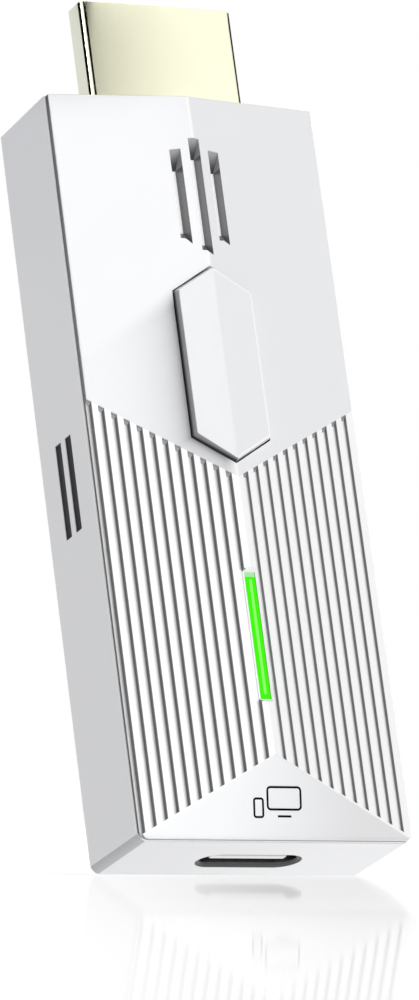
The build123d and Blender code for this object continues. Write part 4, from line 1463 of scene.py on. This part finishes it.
def face(item, aim, azimuth, elevation, distance):
    """Stand an object off a point and turn it to it. Azimuth 0 is in front, and positive to the left."""
    turned, raised = math.radians(azimuth), math.radians(elevation)
    level = math.cos(raised)
    direction = Vector((-math.sin(turned) * level, -math.cos(turned) * level, math.sin(raised)))
    item.location = (Vector(aim) + direction * distance) * mm
    item.rotation_euler = direction.to_track_quat("Z", "Y").to_euler()


middle = (0, 0, 32)
box_size, box_radiance = 320, 4.5
box_data = bpy.data.lights.new("front_box", "AREA")
box_data.shape = "RECTANGLE"
box_data.size = box_data.size_y = box_size * mm
box_data.energy = box_radiance * math.pi * box_data.size * box_data.size_y
front_box = put("front_box", box_data)
front_box.visible_glossy = False
face(front_box, middle, -13, 19, 600)

# %% [markdown]
# What polished faces mirror is a matter of its own: white all round would make the plug as flat as
# paper. So three black flags, a card that fades and a grey one stand where the plug's reflections
# find them. Two sheens and two strips brighten the roof, the facet and the sides in the same way.
# Nothing but a reflection sees any of them.

# %% Cards and flags that only reflections see
def sheet(name, width, height, material):
    """A flat rectangle of a size in millimetres, which faces its own z."""
    mesh = bpy.data.meshes.new(name)
    corners = at_height(rectangle(-width / 2, -height / 2, width / 2, height / 2), 0)
    mesh.from_pydata([Vector(corner) * mm for corner in corners], [], [(0, 1, 2, 3)])
    mesh.materials.append(material)
    item = put(name, mesh)
    item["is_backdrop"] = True
    return item


def card(name, aim, azimuth, elevation, distance, width, height, glow, fade=None, colour=grey(1)):
    """A flat card. One with no glow is a black flag. A fade is the glow at its left, and two places."""
    finish = start_finish(name)
    finish.material.cycles.emission_sampling = "NONE"
    level = glow
    if fade:
        left_glow, start, end = fade
        level = left_glow + above(finish.x, start, end) * (glow - left_glow)
    shine = add(finish.tree, "ShaderNodeEmission", inputs={"Color": colour, "Strength": level})
    lead_out(finish.tree, shine)
    item = sheet(name, width, height, finish.material)
    face(item, aim, azimuth, elevation, distance)
    for ray in ("camera", "diffuse", "transmission", "volume_scatter", "shadow"):
        setattr(item, "visible_" + ray, False)


plug_middle = (house_high.z + plug_high.z) / 2
plug_place = (0, plug_low.y, plug_middle)
plug_left, plug_right = ((side * plug_high.x, plug_low.y, plug_middle) for side in (-1, 1))
facet_place = (0, ridge_y, facet_top / 2)
card("plug_fade", plug_place, -28, 22.7, 60, 26, 16, 1.07, (0.48, -9.5, 4.2))
card("plug_side_grey", plug_place, 152, 22.7, 80, 40, 40, 0.85, colour=rgb(0.88, 0.90, 1.0))
card("flag_front", plug_left, -4.5, 22.7, 12, 9.45, 11, 0.0)
card("flag_left", plug_left, 111, 22.7, 12, 15.6, 11, 0.0)
card("flag_right", plug_right, -112.5, 22.7, 12, 22, 11, 0.0)
card("roof_sheen", (0, ridge_y, 32), -12, 27, 600, 260, 320, 6.4)
card("facet_sheen", facet_place, -5.5, -2.3, 40, 30, 26, 6.4)
card("left_strip", middle, 62, 18.5, 600, 160, 500, 10.0)
card("right_strip", middle, -118, 18.5, 600, 160, 500, 10.0)

# %% [markdown]
# The floor meets the stick along its lower back edge. The photograph's reflection is faint on the left
# and stronger on the right, with a soft shade where the stick stands, and all of it fades towards the
# viewer. So the floor's shares of mirror and of matt white change over it. It is clear from below.

# %% Floor
ground = start_finish("floor_white")
floor_size = 3000
floor = sheet("floor", floor_size, floor_size, ground.material)
floor_up = Vector((0, -0.30, 0.954)).normalized()
lowest = min(corner.co @ floor_up for node in frame["nodes"].values() for corner in node.data.vertices)
floor_gap = 0.05 * mm
outwards = -(looks_along - floor_up * looks_along.dot(floor_up)).normalized()
across = outwards.cross(floor_up)
foot = Vector((0, back_y, 0)) * mm
foot += floor_up * (lowest - floor_gap - foot.dot(floor_up))
foot -= across * (foot - camera_place).dot(across)
foot_distance = (foot - camera_place).length
turn = Matrix((-across, outwards, floor_up)).transposed()
floor.matrix_world = Matrix.Translation(foot) @ turn.to_4x4()

tree = ground.tree
edge_lean, white_glow, reflected_glow = 0.0235, 1.21, 0.93
apart = ground.x / (1 - ground.y / foot_distance)
in_edge = 1 - above(apart - ground.y * edge_lean, 11.9, 12.7)
strong = above(apart, -14, 12)
near_shade = 0.26 * strong * in_edge * (1 - above(ground.y, 100, 300))
matt_share = 0.05 + 0.25 * above(ground.y, -20, 0) + near_shade
mirror_share = (0.08 + 0.26 * strong) * (1 - 0.35 * above(ground.y, 120, 330))
matt = add(tree, "ShaderNodeBsdfDiffuse", inputs={"Color": grey(0.85)})
white = add(tree, "ShaderNodeEmission", inputs={"Color": grey(1), "Strength": white_glow})
mirror = add(tree, "ShaderNodeBsdfGlossy", inputs={"Color": grey(1), "Roughness": 0.03})
glowing = add(tree, "ShaderNodeEmission", inputs={"Color": grey(1), "Strength": reflected_glow})
clear = add(tree, "ShaderNodeBsdfTransparent")
seen = add(tree, "ShaderNodeLightPath", output="Is Camera Ray")
away = add(tree, "ShaderNodeNewGeometry", output="Backfacing")


def blend(share, first, second):
    """A share of the second surface over the first."""
    return add(tree, "ShaderNodeMixShader", inputs={0: share, 1: first, 2: second})


shown = blend(mirror_share, blend(matt_share, white, matt), mirror)
lead_out(tree, blend(away, blend(seen, glowing, shown), clear))
print("floor lies", round((lowest - floor_gap) / mm, 2), "mm along its own up")

scene.view_settings.view_transform = "Standard"
size = {"cad": [list(corner) for corner in cad_box], "visual": [list(corner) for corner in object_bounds()]}
print("visual box in mm:", in_mm(size["visual"]))
